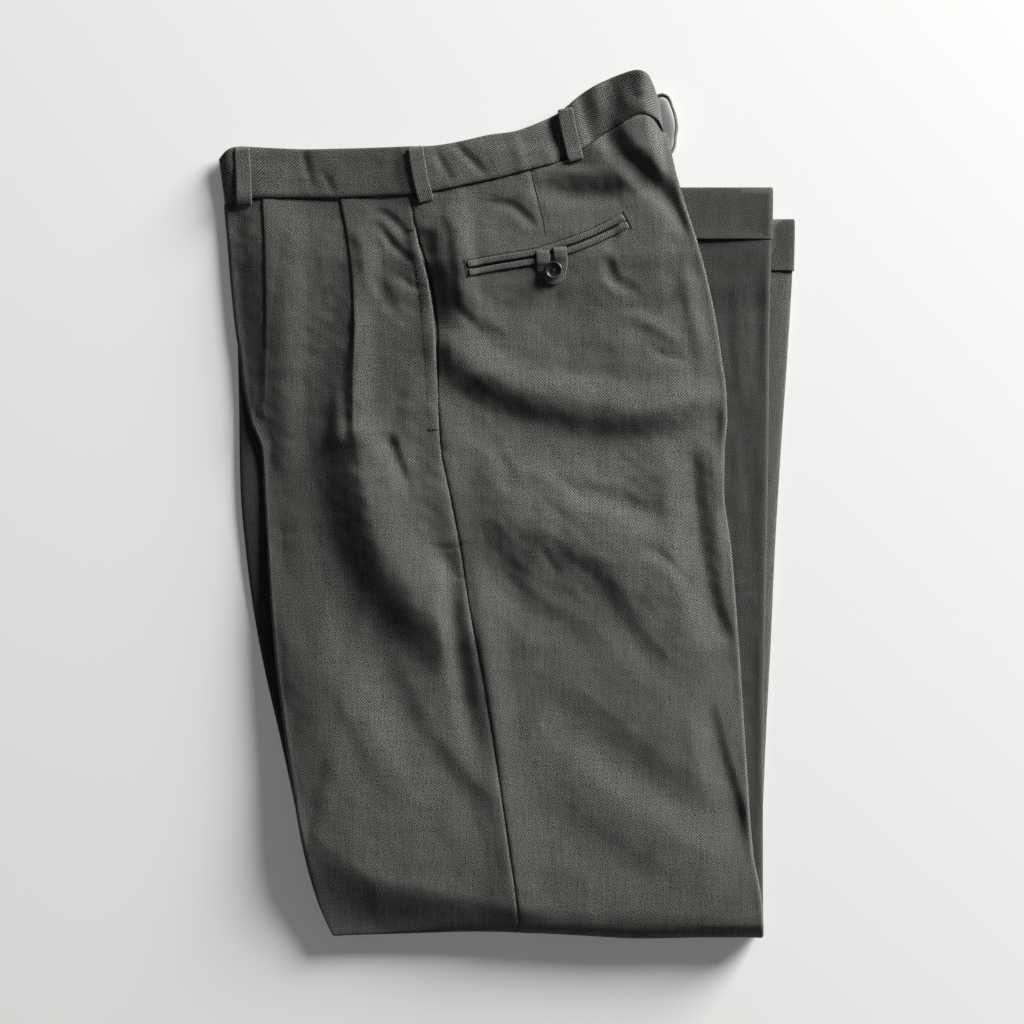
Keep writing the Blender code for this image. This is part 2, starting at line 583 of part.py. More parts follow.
# ---------------------------------------------------------------- pieces
def hidden_layers(mat):
    """The layers between, as one rounded solid: its sides are grooved between one leg's fold and the other's."""
    shares = list(range(len(RIGHT_FRONT_SHARES) + len(RIGHT_BACK_SHARES[1:]) + 2))
    last = shares[-1]

    def across(j, lo, hi, y, thigh):
        if j in (0, last):
            return lo if j == 0 else hi
        even = lo + (hi - lo) * j / last
        if not thigh:
            return even
        if j <= len(RIGHT_FRONT_SHARES):
            a, b = float(under_front(y)) + float(right_turn_under(y)), float(side_seam(y)) - SEAM / 2
            x = a + RIGHT_FRONT_SHARES[j - 1] * (b - a)
        else:
            a, b = float(side_seam(y)) + SEAM / 2, float(back_edge(y)) - NOSE - 1.8 * float(smooth(-300, -260, y))
            x = a + RIGHT_BACK_SHARES[j - len(RIGHT_FRONT_SHARES)] * (b - a)
        x = min(max(x, lo + 2.0 * j), hi - 2.0 * (last - j))
        return x + (even - x) * float(smooth(-120, -312, y))

    def limits(st):
        if st.arm == "thigh" or (st.arm == "knee" and st.turn <= math.pi / 2):
            def lo(y):
                leg = max(float(front_edge(y)) + 25.0, float(under_front(y)) + float(right_turn_under(y)))
                return leg + 22.0 * float(smooth(60, 88, y)) + 1.2
            return lo, lambda y: float(back_edge(y)) - 28.6 - 15.0 * float(smooth(-200, -310, y))
        return (lambda y: max(float(left_front_x(y)), float(right_front_x(y))) + 26.2,
                lambda y: min(float(left_back_x(y)) - 41.2, float(right_back_x(y)) - 26.2))
    grid = []
    shin_rows = [-290, -110, 70, 136]
    for st in stations(shin_rows):
        if st.arm == "thigh" and st.y > 213:
            continue
        lo, hi = limits(st)
        thigh = st.arm == "thigh" or (st.arm == "knee" and st.turn <= math.pi / 2)

        def point(share, inset, up):
            """share across, inset from the side, up 0 at the bottom and 1 at the top of the solid"""
            y = st.y
            x = 0.0
            for _ in range(4):
                if st.arm == "thigh":
                    y = st.y + st.slope * (float(waist_y(x)) - 231.0)
                elif st.arm == "knee":
                    h = FOLD_IN + WALL + up * (FOLD_OUT - FOLD_IN - 2 * WALL)
                    y = float(knee_y(x)) + FOLD_OUT + WALL / 2 - h * math.sin(st.turn)
                x = across(share, lo(y), hi(y), y, thigh) + (inset if share == 0 else -inset if share == last else 0.0)
            if st.arm == "thigh":
                low = float(right_level(x, y)) + WALL + 0.8
                drop = 5.3 - 4.0 * float(smooth(-236, -300, y))
                full = (float(left_base(x, y)) + float(loft_edge(y))
                        + float(loft_middle(y) - loft_edge(y)) * float(smooth(0, 45, min(x - float(front_edge(y)), float(back_edge(y)) - x))))
                part_way = float(on_shins(x, y))
                low += (1.1 + 1.5 * float(smooth(90, 50, y))) * 4 * part_way * (1 - part_way)
                z = low + up * (max(full - drop, low + 0.6) - low)
            elif st.arm == "knee":
                z = CORE + h * math.cos(st.turn)
            else:
                top, bottom = float(right_out(y)) - WALL, float(left_out(y)) + WALL
                z = top + up * (bottom - top)
            return x, y, z
        ring = [point(s, 1.2 if s in (0, last) else 0.0, 1.0) for s in shares]
        ring += [point(last, 0.0, 0.8), point(last, 2.0, 0.5), point(last, 0.0, 0.2)]
        ring += [point(s, 1.2 if s in (0, last) else 0.0, 0.0) for s in reversed(shares)]
        ring += [point(0, 0.0, 0.2), point(0, 2.0, 0.5), point(0, 0.0, 0.8)]
        grid.append(ring)
    return loft("hidden_layers", grid, mat, ring=True, capped=True)


def turnup(name, lower, upper, front_x, back_x, out_level, in_level, up, mat):
    """A band turned up round the whole leg end, just outside its two layers."""
    grid = []
    for y in (lower, lower + 13.0, lower + 26.0, upper):
        a, b = float(front_x(y)), float(back_x(y))
        zo, zi = float(out_level(y)) + 1.5 * up, float(in_level(y)) - 1.5 * up
        zm = (zo + zi) / 2
        shares = (0.0, 0.2, 0.4, 0.6, 0.8, 1.0)
        row = [(a + 0.2 + s * (b - a - 0.4), y, zo) for s in shares]
        row += [(b + 1.6, y, zm)]
        row += [(a + 0.2 + s * (b - a - 0.4), y, zi) for s in reversed(shares)]
        row += [(a - 1.6, y, zm)]
        grid.append(row)
    return loft(name, grid, mat, wall=WALL, ring=True)


def waistband(name, side, mat):
    """Two layers of cloth with a stiffening; the left half lies above, the right half below."""
    grid = []
    last = len(BAND) - 1
    for j, share in enumerate((0.0, 0.34, 0.67, 1.0)):
        row = []
        for i, b in enumerate(BAND):
            sx, sy, tx, ty = b.seam_x, b.seam_y + 4 * SEAM, b.top_x, b.top_y
            x = sx + share * (tx - sx)
            y = sy + share * (ty - sy) + (1.2 * (1 - share) if side > 0 and i > last - 2 else 0.0)
            if side < 0:
                x += share * (2.0 if i < 3 else (-2.0 if i > last - 4 else 0.0))
                y += 0.3 * (1 - share) - 1.6 * share
            if side > 0:
                curl = {0: 1.5, 1: 0.5, last: 1.5, last - 1: 0.6}.get(i, 0.0)
                z = float(left_level(x, y)) + 0.6 - curl
            else:
                curl = {0: 0.7, last: 0.7}.get(i, 0.0)
                z = float(right_level(x, y)) + 2.0 + curl
            row.append((x, y, z))
        grid.append(row)
    return loft(name, grid, mat, wall=BAND_WALL)


def belt_loop(loop, trees, mat):
    (fx, fy), (hx, hy) = loop.foot, loop.head
    run = math.hypot(hx - fx, hy - fy)
    ux, uy = (hy - fy) / run, -(hx - fx) / run
    shares = (0.0, 0.09, 0.24, 0.5, 0.76, 0.91, 1.0)
    base = []
    for s in shares:
        x, y = fx + s * (hx - fx), fy + s * (hy - fy)
        hs = []
        for t in np.linspace(s - 0.08, s + 0.08, 5):
            for w in (-0.5, -0.25, 0.0, 0.25, 0.5):
                h = height(trees, fx + t * (hx - fx) + w * LOOP_WIDTH * ux, fy + t * (hy - fy) + w * LOOP_WIDTH * uy, loop.side > 0)
                if h is not None:
                    hs.append(h)
        base.append((x, y, (max(hs) if loop.side > 0 else min(hs))))
    grid = []
    for (x, y, h), s in zip(base, shares):
        arch = LOOP_ARCH * math.sin(math.pi * s) ** 0.7 if loop.side > 0 and 0 < s < 1 else 0.0
        z = h + loop.side * (SEAM + WALL / 2) + arch
        if loop.side < 0:
            z = max(z - 0.0, WALL / 2) if z > 2.0 else WALL / 2
            z = min(z, h - SEAM - WALL / 2)
        grid.append([(x + w * LOOP_WIDTH * ux, y + w * LOOP_WIDTH * uy, z) for w in (-0.5, 0.5)])
    return loft(loop.name, grid, mat, wall=WALL)


def centre_loop(mat):
    """The loop at the centre back stands out from the edge, its width upright."""
    grid = [[(x, y, z) for z in (0.8, 5.8, 10.8)] for x, y in CENTRE_LOOP]
    return loft("belt_loop_centre_back", grid, mat, wall=1.2)


def welt(name, offset, trees, mat):
    path = resample(POCKET, 9)
    grid = []
    for i, (x, y) in enumerate(path):
        a, b = path[max(0, i - 1)], path[min(len(path) - 1, i + 1)]
        d = (b - a) / np.hypot(*(b - a))
        n = np.array([-d[1], d[0]])
        edges = [offset - WELT / 2, offset + WELT / 2]
        hs = [height(trees, *(np.array([x, y]) + n * e + d * t)) for e in edges for t in (-6, -3, 0, 3, 6)]
        z = max(h for h in hs if h is not None) + SEAM + WALL / 2
        grid.append([(x + n[0] * e, y + n[1] * e, z) for e in edges])
    return loft(name, grid, mat, wall=WALL)


def pocket_tab(trees, mat):
    """A folded loop of cloth over the button, slit down its middle."""
    tx, ty = TAB_TOP
    w, ln = TAB_WIDTH / 2, TAB_LENGTH
    rows = [(0.0, w, 0.5), (8.0, w, 0.5), (16.0, w, 0.5), (19.5, w - 1.5, 0.5), (ln, w - 6.0, 0.5)]
    lean = 0.12
    grid = []
    for down, half, slit in rows:
        row = []
        for u in (-half, -slit, slit, half):
            x, y = tx + u + lean * down * 0.4, ty - down + u * 0.18
            hs = [height(trees, x + a, y + b) for a in (-6, -3, 0, 3, 6) for b in (-6, -3, 0, 3, 6)]
            row.append((x, y, max(h for h in hs if h is not None) + SEAM + WALL / 2))
        grid.append(row)
    return loft("pocket_tab", grid, mat, wall=WALL, skip={(0, 1), (1, 1), (2, 1)})


def pocket_button(trees, mat, cutters):
    x, y = BUTTON
    hs = [height(trees, x + r * math.cos(a), y + r * math.sin(a)) for r in (0, 3.5, 7) for a in np.linspace(0, 2 * math.pi, 13)]
    base = max(h for h in hs if h is not None) + SEAM
    profile = [(0.0, 1.5), (4.2, 1.5), (4.9, 2.3), (5.9, BUTTON_T), (6.6, 2.3), (BUTTON_R, 1.5), (6.7, 0.5), (5.4, 0.0), (0.0, 0.0)]
    bm = bmesh.new()
    vs = [bm.verts.new((r * MM, 0, z * MM)) for r, z in profile]
    for a, b in zip(vs, vs[1:]):
        bm.edges.new((a, b))
    mesh = bpy.data.meshes.new("pocket_button")
    bm.to_mesh(mesh)
    bm.free()
    ob = place("pocket_button", mesh, mat)
    ob.location = (x * MM, y * MM, base * MM)
    s = ob.modifiers.new("turned", "SCREW")
    s.steps = s.render_steps = 24
    s.use_merge_vertices = True
    s.merge_threshold = 0.00001
    s.use_normal_calculate = True
    s.use_normal_flip = False
    bm = bmesh.new()
    for i in range(4):
        a = math.radians(20 + 90 * i)
        made = bmesh.ops.create_cone(bm, cap_ends=True, segments=10, radius1=BUTTON_HOLE * MM, radius2=BUTTON_HOLE * MM, depth=8 * MM)
        bmesh.ops.translate(bm, verts=made["verts"], vec=(1.9 * MM * math.cos(a), 1.9 * MM * math.sin(a), 1.0 * MM))
    cm = bpy.data.meshes.new("button_holes")
    bm.to_mesh(cm)
    bm.free()
    cut = bpy.data.objects.new("button_holes", cm)
    cut.location = ob.location
    cut.hide_render = True
    cut.display_type = "WIRE"
    cutters.objects.link(cut)
    b = ob.modifiers.new("holes", "BOOLEAN")
    b.operation = "DIFFERENCE"
    b.object = cut
    b.solver = "EXACT"
    return ob


def strip(name, mat, wall, ys, left, right, level):
    rows = []
    for y in ys:
        xs = np.linspace(float(left(y)), float(right(y)), 4)
        rows.append([(float(x), y, float(level(x, y))) for x in xs])
    return loft(name, rows, mat, wall=wall)


def block(name, mat, centre, size):
    bpy.ops.mesh.primitive_cube_add(size=1)
    ob = bpy.context.active_object
    ob.name = ob.data.name = name
    ob.scale = [s * MM for s in size]
    bpy.ops.object.transform_apply(location=False, rotation=False, scale=True)
    ob.location = [c * MM for c in centre]
    ob.data.materials.append(mat)
    for c in list(ob.users_collection):
        c.objects.unlink(ob)
    GARMENT.objects.link(ob)
    return ob


clear()
GARMENT = collection("pleated_dress_trousers")
CUTTERS = collection("cutters")


def main():
    grey = (0.070, 0.069, 0.066)
    mats = {n: material("cloth_" + n, tuple(c * k for c in grey), 0.9) for n, k in (
        ("left_front", 1.0), ("left_back", 1.03), ("right_front", 0.95), ("right_back", 0.96), ("hidden", 0.9),
        ("band", 1.05), ("band_right", 1.0), ("loop", 1.08), ("turnup", 0.98), ("welt", 1.06), ("tab", 1.08), ("facing", 0.9))}

    shin_left = [-290, -110, 70, 142, 158, 170, HEM_LEFT - TURNUP, HEM_LEFT - 0.3]
    shin_right = [-290, -110, 70, 142, 158, 170, 182, 194, HEM_RIGHT - 0.3]
    left = dict(shin_rows=shin_left, level=left_level, lap_height=-LAP, knee_out=FOLD_OUT, knee_lap=-LAP,
                shin_out=left_out, shin_in=left_in)
    right = dict(shin_rows=shin_right, level=right_level, lap_height=LAP, knee_out=FOLD_IN, knee_lap=LAP,
                 shin_out=right_out, shin_in=right_in)
    front = cloth("left_front", leg_sheet(left_front_columns(), **left), mats["left_front"])
    back = cloth("left_back", leg_sheet(left_back_columns(), **left), mats["left_back"])
    r_front = cloth("right_front", leg_sheet(right_front_columns(), **right), mats["right_front"])
    r_back = cloth("right_back", leg_sheet(right_back_columns(), **right), mats["right_back"])
    hidden_layers(mats["hidden"])

    turnup("turnup_left", HEM_LEFT - TURNUP, HEM_LEFT, left_front_x, left_back_x, left_out, left_in, -1, mats["turnup"])
    turnup("turnup_right", HEM_RIGHT - TURNUP, HEM_RIGHT, right_front_x, right_back_x, right_out, right_in, 1, mats["turnup"])

    band = waistband("waistband_left", 1, mats["band"])
    band_r = waistband("waistband_right", -1, mats["band_right"])
    upper = [tree(band), tree(front), tree(back)]
    under = [tree(band_r)]
    for lp in LOOPS:
        belt_loop(lp, upper if lp.side > 0 else under, mats["loop"])
    centre_loop(mats["loop"])

    on_back = [tree(back)]
    high = welt("pocket_welt_upper", WELT / 2 + 0.2, on_back, mats["welt"])
    low = welt("pocket_welt_lower", -WELT / 2 - 0.2, on_back, mats["welt"])
    tab = pocket_tab(on_back + [tree(high), tree(low)], mats["tab"])
    horn = material("button_horn", (0.045, 0.042, 0.040), 0.35)
    pocket_button(on_back + [tree(high), tree(low), tree(tab)], horn, CUTTERS)

    strip("side_pocket_facing", mats["facing"], WALL, [78, 95, 113, 131, 149, 166, 184, 200, 212],
          lambda y: side_seam(y) - 4.0, lambda y: side_seam(y) + 6.0, lambda x, y: left_level(x, y) - 2.7)
    tape = material("zip_tape", (0.05, 0.05, 0.05), 0.8)
    strip("fly_zip", tape, 1.2, [96, 128, 160, 192, 224], lambda y: under_front(y) + 43.5, lambda y: under_front(y) + 62.0,
          lambda x, y: right_level(x, y) + 1.6)
    brass = material("zip_metal", (0.45, 0.36, 0.2), 0.35, 1.0)
    block("zip_slider", brass, (-157.6, 215.0, 4.2), (7.0, 11.0, 2.0))
    steel = material("hook_metal", (0.5, 0.5, 0.5), 0.35, 1.0)
    block("waist_hook", steel, (-191.0, 250.0, 5.6), (12.0, 9.0, 1.0))


main()
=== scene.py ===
# Looks of the pleated dress trousers, folded in profile on their creases and once under at the knee.
# The cloth is thin shells on the forms of the CAD solids: their outlines and levels are repeated here in
# millimetres, with the creases placed one by one. Every piece is made from formulas; the seed is fixed.
import math
from collections import namedtuple

import bpy
import numpy as np
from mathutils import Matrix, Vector
from mathutils.bvhtree import BVHTree

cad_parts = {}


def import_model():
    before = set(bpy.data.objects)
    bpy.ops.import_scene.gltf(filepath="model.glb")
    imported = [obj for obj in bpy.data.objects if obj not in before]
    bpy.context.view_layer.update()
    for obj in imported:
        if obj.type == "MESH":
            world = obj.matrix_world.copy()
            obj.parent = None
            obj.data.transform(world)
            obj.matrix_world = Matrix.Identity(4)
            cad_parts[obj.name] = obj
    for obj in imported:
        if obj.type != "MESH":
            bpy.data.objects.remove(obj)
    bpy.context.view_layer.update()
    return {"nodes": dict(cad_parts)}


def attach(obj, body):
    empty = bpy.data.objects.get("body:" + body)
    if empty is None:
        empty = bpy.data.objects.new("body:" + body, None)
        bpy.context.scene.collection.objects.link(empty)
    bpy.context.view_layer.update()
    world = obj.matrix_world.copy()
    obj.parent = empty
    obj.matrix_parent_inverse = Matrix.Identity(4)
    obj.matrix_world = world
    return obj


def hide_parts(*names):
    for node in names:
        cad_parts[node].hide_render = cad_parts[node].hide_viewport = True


RNG = np.random.default_rng(20584)

# ---------------------------------------------------------------- sizes
MM = 0.001
WALL = 1.0                 # cloth wall
SEAM = 0.3                 # gap between sewn pieces
LAP = 2.4                  # a pressed fold, middle of one layer to middle of the other
NOSE = 1.1                 # how far a pressed fold's round reaches
BAND_WALL = 2.4            # waistband, two layers with its stiffening
PLEAT_PITCH = 1.6          # layer to layer in a pleat
CORE = 11.5                # height of the line that the knee fold turns about
STACK = 9.0                # height of the plane between the legs and their folded shins, away from the knee
FOLD_OUT = 11.0            # left outer panel, distance from the core
FOLD_IN = 0.9              # right outer panel, distance from the core
TABLE = 0.5                # middle of a layer that lies on the table
LOOP_WIDTH = 11.0
LOOP_ARCH = 1.6
WELT = 3.2
TAB_WIDTH, TAB_LENGTH = 21.0, 25.0
BUTTON_R, BUTTON_T, BUTTON_HOLE = 7.0, 2.6, 0.8
TURNUP = 39.0
HEM_RIGHT, HEM_LEFT = 238.3, 215.0

# Thighs, by height y on the folded garment: x of each edge and line.
Thigh = namedtuple("Thigh", "y front_edge crease pleat side_seam back_edge under_front")
THIGHS = [
    Thigh(305, -213.6, -187.0, -134.0, -75.4, 114.4, -211.6),
    Thigh(262, -213.6, -185.5, -130.0, -73.8, 122.8, -211.6),
    Thigh(231, -213.2, -184.1, -125.6, -72.4, 130.9, -211.2),
    Thigh(199, -210.7, -182.2, -119.6, -67.5, 141.2, -208.7),
    Thigh(165, -208.0, -181.4, -115.8, -59.0, 150.3, -206.0),
    Thigh(131, -204.4, -181.1, -114.8, -54.5, 157.2, -203.2),
    Thigh(112, -201.4, -181.3, -115.4, -53.6, 159.8, -202.6),
    Thigh(88, -198.6, -182.0, -115.9, -52.4, 163.3, -202.0),
    Thigh(64, -193.1, -183.6, -115.9, -51.3, 164.3, -201.6),
    Thigh(41, -184.8, -184.0, -115.0, -49.7, 162.4, -201.4),
    Thigh(11, -182.9, -182.9, -112.0, -43.7, 162.0, -200.6),
    Thigh(-34, -180.2, -180.2, -108.0, -35.0, 167.5, -196.7),
    Thigh(-79, -177.2, -177.2, -103.0, -28.2, 171.2, -190.9),
    Thigh(-124, -173.1, -173.1, -97.0, -19.5, 174.3, -182.5),
    Thigh(-169, -167.3, -167.3, -91.0, -12.0, 177.2, -172.1),
    Thigh(-214, -160.7, -160.7, -85.0, -5.2, 180.0, -162.0),
    Thigh(-259, -152.6, -152.6, -78.0, 1.4, 183.4, -152.2),
    Thigh(-296, -142.5, -142.5, -70.0, 6.6, 190.0, -142.1),
    Thigh(-325, -130.2, -130.2, -62.0, 9.6, 191.8, -130.2),
]

# Shins, folded under: x of the front and back crease of each leg.
Shin = namedtuple("Shin", "y right_front right_back left_front left_back")
SHINS = [
    Shin(238.5, -14.6, 198.2, 8.4, 215.2),
    Shin(198, -23.0, 197.6, -1.7, 214.8),
    Shin(175, -27.8, 197.2, -7.4, 214.0),
    Shin(116, -40.0, 196.1, -22.0, 210.6),
    Shin(41, -55.5, 195.5, -40.6, 205.5),
    Shin(-34, -71.0, 194.3, -59.2, 201.0),
    Shin(-109, -86.6, 192.8, -77.8, 197.6),
    Shin(-184, -102.1, 191.7, -96.4, 193.8),
    Shin(-259, -117.7, 191.4, -115.0, 191.4),
    Shin(-325, -131.0, 191.8, -131.0, 191.8),
]

# Waistband, from centre front to centre back: its seam edge and its top edge.
Band = namedtuple("Band", "seam_x seam_y top_x top_y")
BAND = [
    Band(-212.4, 226.6, -217.0, 260.0), Band(-206.0, 228.4, -211.0, 266.6), Band(-196.0, 230.4, -202.0, 269.4),
    Band(-184.1, 231.0, -187.0, 268.8), Band(-155.6, 230.9, -155.6, 267.2), Band(-125.6, 230.6, -125.6, 267.4),
    Band(-95.6, 231.8, -95.6, 267.9), Band(-72.4, 232.4, -74.6, 268.5), Band(-50.6, 235.5, -55.1, 268.9),
    Band(-28.1, 240.4, -34.9, 272.2), Band(-5.6, 245.2, -14.6, 276.8), Band(19.1, 251.7, 8.6, 280.5),
    Band(46.1, 258.8, 36.4, 292.5), Band(56.6, 266.2, 44.6, 298.5), Band(68.6, 275.2, 54.4, 306.8),
    Band(82.9, 283.5, 67.9, 315.0), Band(94.4, 290.6, 84.4, 322.0), Band(101.6, 292.6, 96.4, 325.0),
    Band(107.6, 290.8, 103.9, 322.6), Band(112.9, 286.1, 108.4, 316.0), Band(116.6, 278.6, 114.0, 301.0),
]

# Lower edge of the knee fold.
Knee = namedtuple("Knee", "x y")
KNEE = [Knee(-131, -323.3), Knee(-62.6, -321.2), Knee(-24.4, -320.2), Knee(9.4, -320.9), Knee(56.6, -323.3),
        Knee(100, -325.4), Knee(152, -324.6), Knee(191.6, -324.8)]

# How far the left outer panel stands above the right outer panel, in the middle and at the edges.
Loft = namedtuple("Loft", "y middle edge")
LOFTS = [Loft(330, 7.5, 6.9), Loft(231, 7.7, 7.0), Loft(195, 9.4, 7.0), Loft(150, 10.6, 7.0), Loft(60, 11.0, 7.0),
         Loft(-150, 11.0, 7.4), Loft(-230, 10.9, 8.4), Loft(-290, 10.4, 9.6), Loft(-330, 10.1, 10.1)]
# Belt loops: foot and head of each one on the waistband.
Loop = namedtuple("Loop", "name side foot head")
LOOPS = [
    Loop("belt_loop_left_front", 1, (-197.6, 224.5), (-199.5, 268.5)),
    Loop("belt_loop_left_side", 1, (-60.6, 226.5), (-69.0, 268.0)),
    Loop("belt_loop_left_back", 1, (51.5, 257.0), (43.0, 296.5)),
    Loop("belt_loop_right_front", -1, (-194.0, 234.0), (-196.0, 264.5)),
    Loop("belt_loop_right_side", -1, (-64.0, 237.5), (-69.0, 265.5)),
    Loop("belt_loop_right_back", -1, (52.5, 267.5), (44.5, 293.0)),
]
CENTRE_LOOP = [(117.8, 306.0), (120.8, 304.6), (123.8, 299.5), (126.4, 291.0), (128.0, 281.0), (127.9, 272.0), (126.0, 266.5)]

# Back pocket: the line of its opening, from the side to the seat, and the button.
POCKET = [(-30.4, 178.3), (21.4, 187.2), (46.9, 195.0), (90.4, 218.0)]
TAB_TOP = (32.6, 191.0)
BUTTON = (34.4, 175.2)

# ---------------------------------------------------------------- curves and levels
def smooth(a, b, v):
    t = np.clip((np.asarray(v, float) - a) / (b - a), 0.0, 1.0)
    return t * t * (3 - 2 * t)


def reader(rows, column, key="y"):
    """A smooth curve through one column of a table, with no overshoot between its rows."""
    pairs = sorted((getattr(r, key), getattr(r, column)) for r in rows)
    xs = np.array([p[0] for p in pairs], float)
    ys = np.array([p[1] for p in pairs], float)
    h = np.diff(xs)
    s = np.diff(ys) / h
    m = np.zeros_like(ys)
    m[0], m[-1] = s[0], s[-1]
    for i in range(1, len(ys) - 1):
        if s[i - 1] * s[i] > 0:
            w1, w2 = 2 * h[i] + h[i - 1], h[i] + 2 * h[i - 1]
            m[i] = (w1 + w2) / (w1 / s[i - 1] + w2 / s[i])

    def read(v):
        v = np.clip(np.asarray(v, float), xs[0], xs[-1])
        i = np.clip(np.searchsorted(xs, v) - 1, 0, len(xs) - 2)
        t = (v - xs[i]) / h[i]
        return ((1 + 2 * t) * (1 - t) ** 2 * ys[i] + t * (1 - t) ** 2 * h[i] * m[i]
                + t * t * (3 - 2 * t) * ys[i + 1] + t * t * (t - 1) * h[i] * m[i + 1])
    return read


front_edge = reader(THIGHS, "front_edge")
crease = reader(THIGHS, "crease")
pleat = reader(THIGHS, "pleat")
side_seam = reader(THIGHS, "side_seam")
back_edge = reader(THIGHS, "back_edge")
under_front = reader(THIGHS, "under_front")
right_front_x = reader(SHINS, "right_front")
right_back_x = reader(SHINS, "right_back")
left_front_x = reader(SHINS, "left_front")
left_back_x = reader(SHINS, "left_back")
knee_y = reader(KNEE, "y", "x")
loft_middle = reader(LOFTS, "middle")
loft_edge = reader(LOFTS, "edge")


def waist_y(x):
    return np.interp(x, [b.seam_x for b in BAND], [b.seam_y for b in BAND])


def seam_share(y):
    """Where the side seam runs across a shin, from its front crease."""
    return 0.435 + 0.02 * smooth(-325, 238, y)


def stack(y):
    """Height of the plane between thighs and shins: it rises towards the knee, where the fold is thickest."""
    return STACK + (CORE - STACK) * smooth(-140, -296, y)


def left_out(y):                     # left outer shin, on the table
    return TABLE + 1.5 * smooth(150, 170, y)


def left_in(y):                      # left inner shin
    return TABLE + LAP + 1.3 * smooth(150, 170, y)


def right_in(y):                     # right inner shin
    return stack(y) - FOLD_IN - LAP + 1.5 * smooth(145, 168, y) + 1.5 * smooth(172, 194, y)


def right_out(y):                    # right outer shin
    return stack(y) - FOLD_IN + 1.8 * smooth(145, 168, y) + 0.9 * smooth(172, 194, y)


def inside_shins(x, y):
    """Distance inwards from the outline of the shins that lie below."""
    a, b = x - right_front_x(y), HEM_RIGHT - y
    k = np.clip(0.5 + 0.5 * (b - a) / 24.0, 0, 1)
    return b * (1 - k) + a * k - 24.0 * k * (1 - k)


def on_shins(x, y):
    """1 over the shins that lie below, easing to 0 on the table beside and beyond them."""
    return smooth(-80, -24, inside_shins(x, y))


def right_level(x, y):
    """Middle of the right outer panel over thigh and seat."""
    top = stack(y) + FOLD_IN + 1.8 * smooth(145, 168, y) + 2.1 * smooth(168, 190, y)
    return TABLE + (top - TABLE) * on_shins(x, y)


def left_base(x, y):
    """What the left leg is lofted from: it comes down from the shins more gently than the right leg."""
    top = stack(y) + FOLD_IN + 1.8 * smooth(145, 168, y) + 2.1 * smooth(168, 190, y)
    return TABLE + (top - TABLE) * np.maximum(on_shins(x, y), smooth(-175, -5, inside_shins(x, y)))
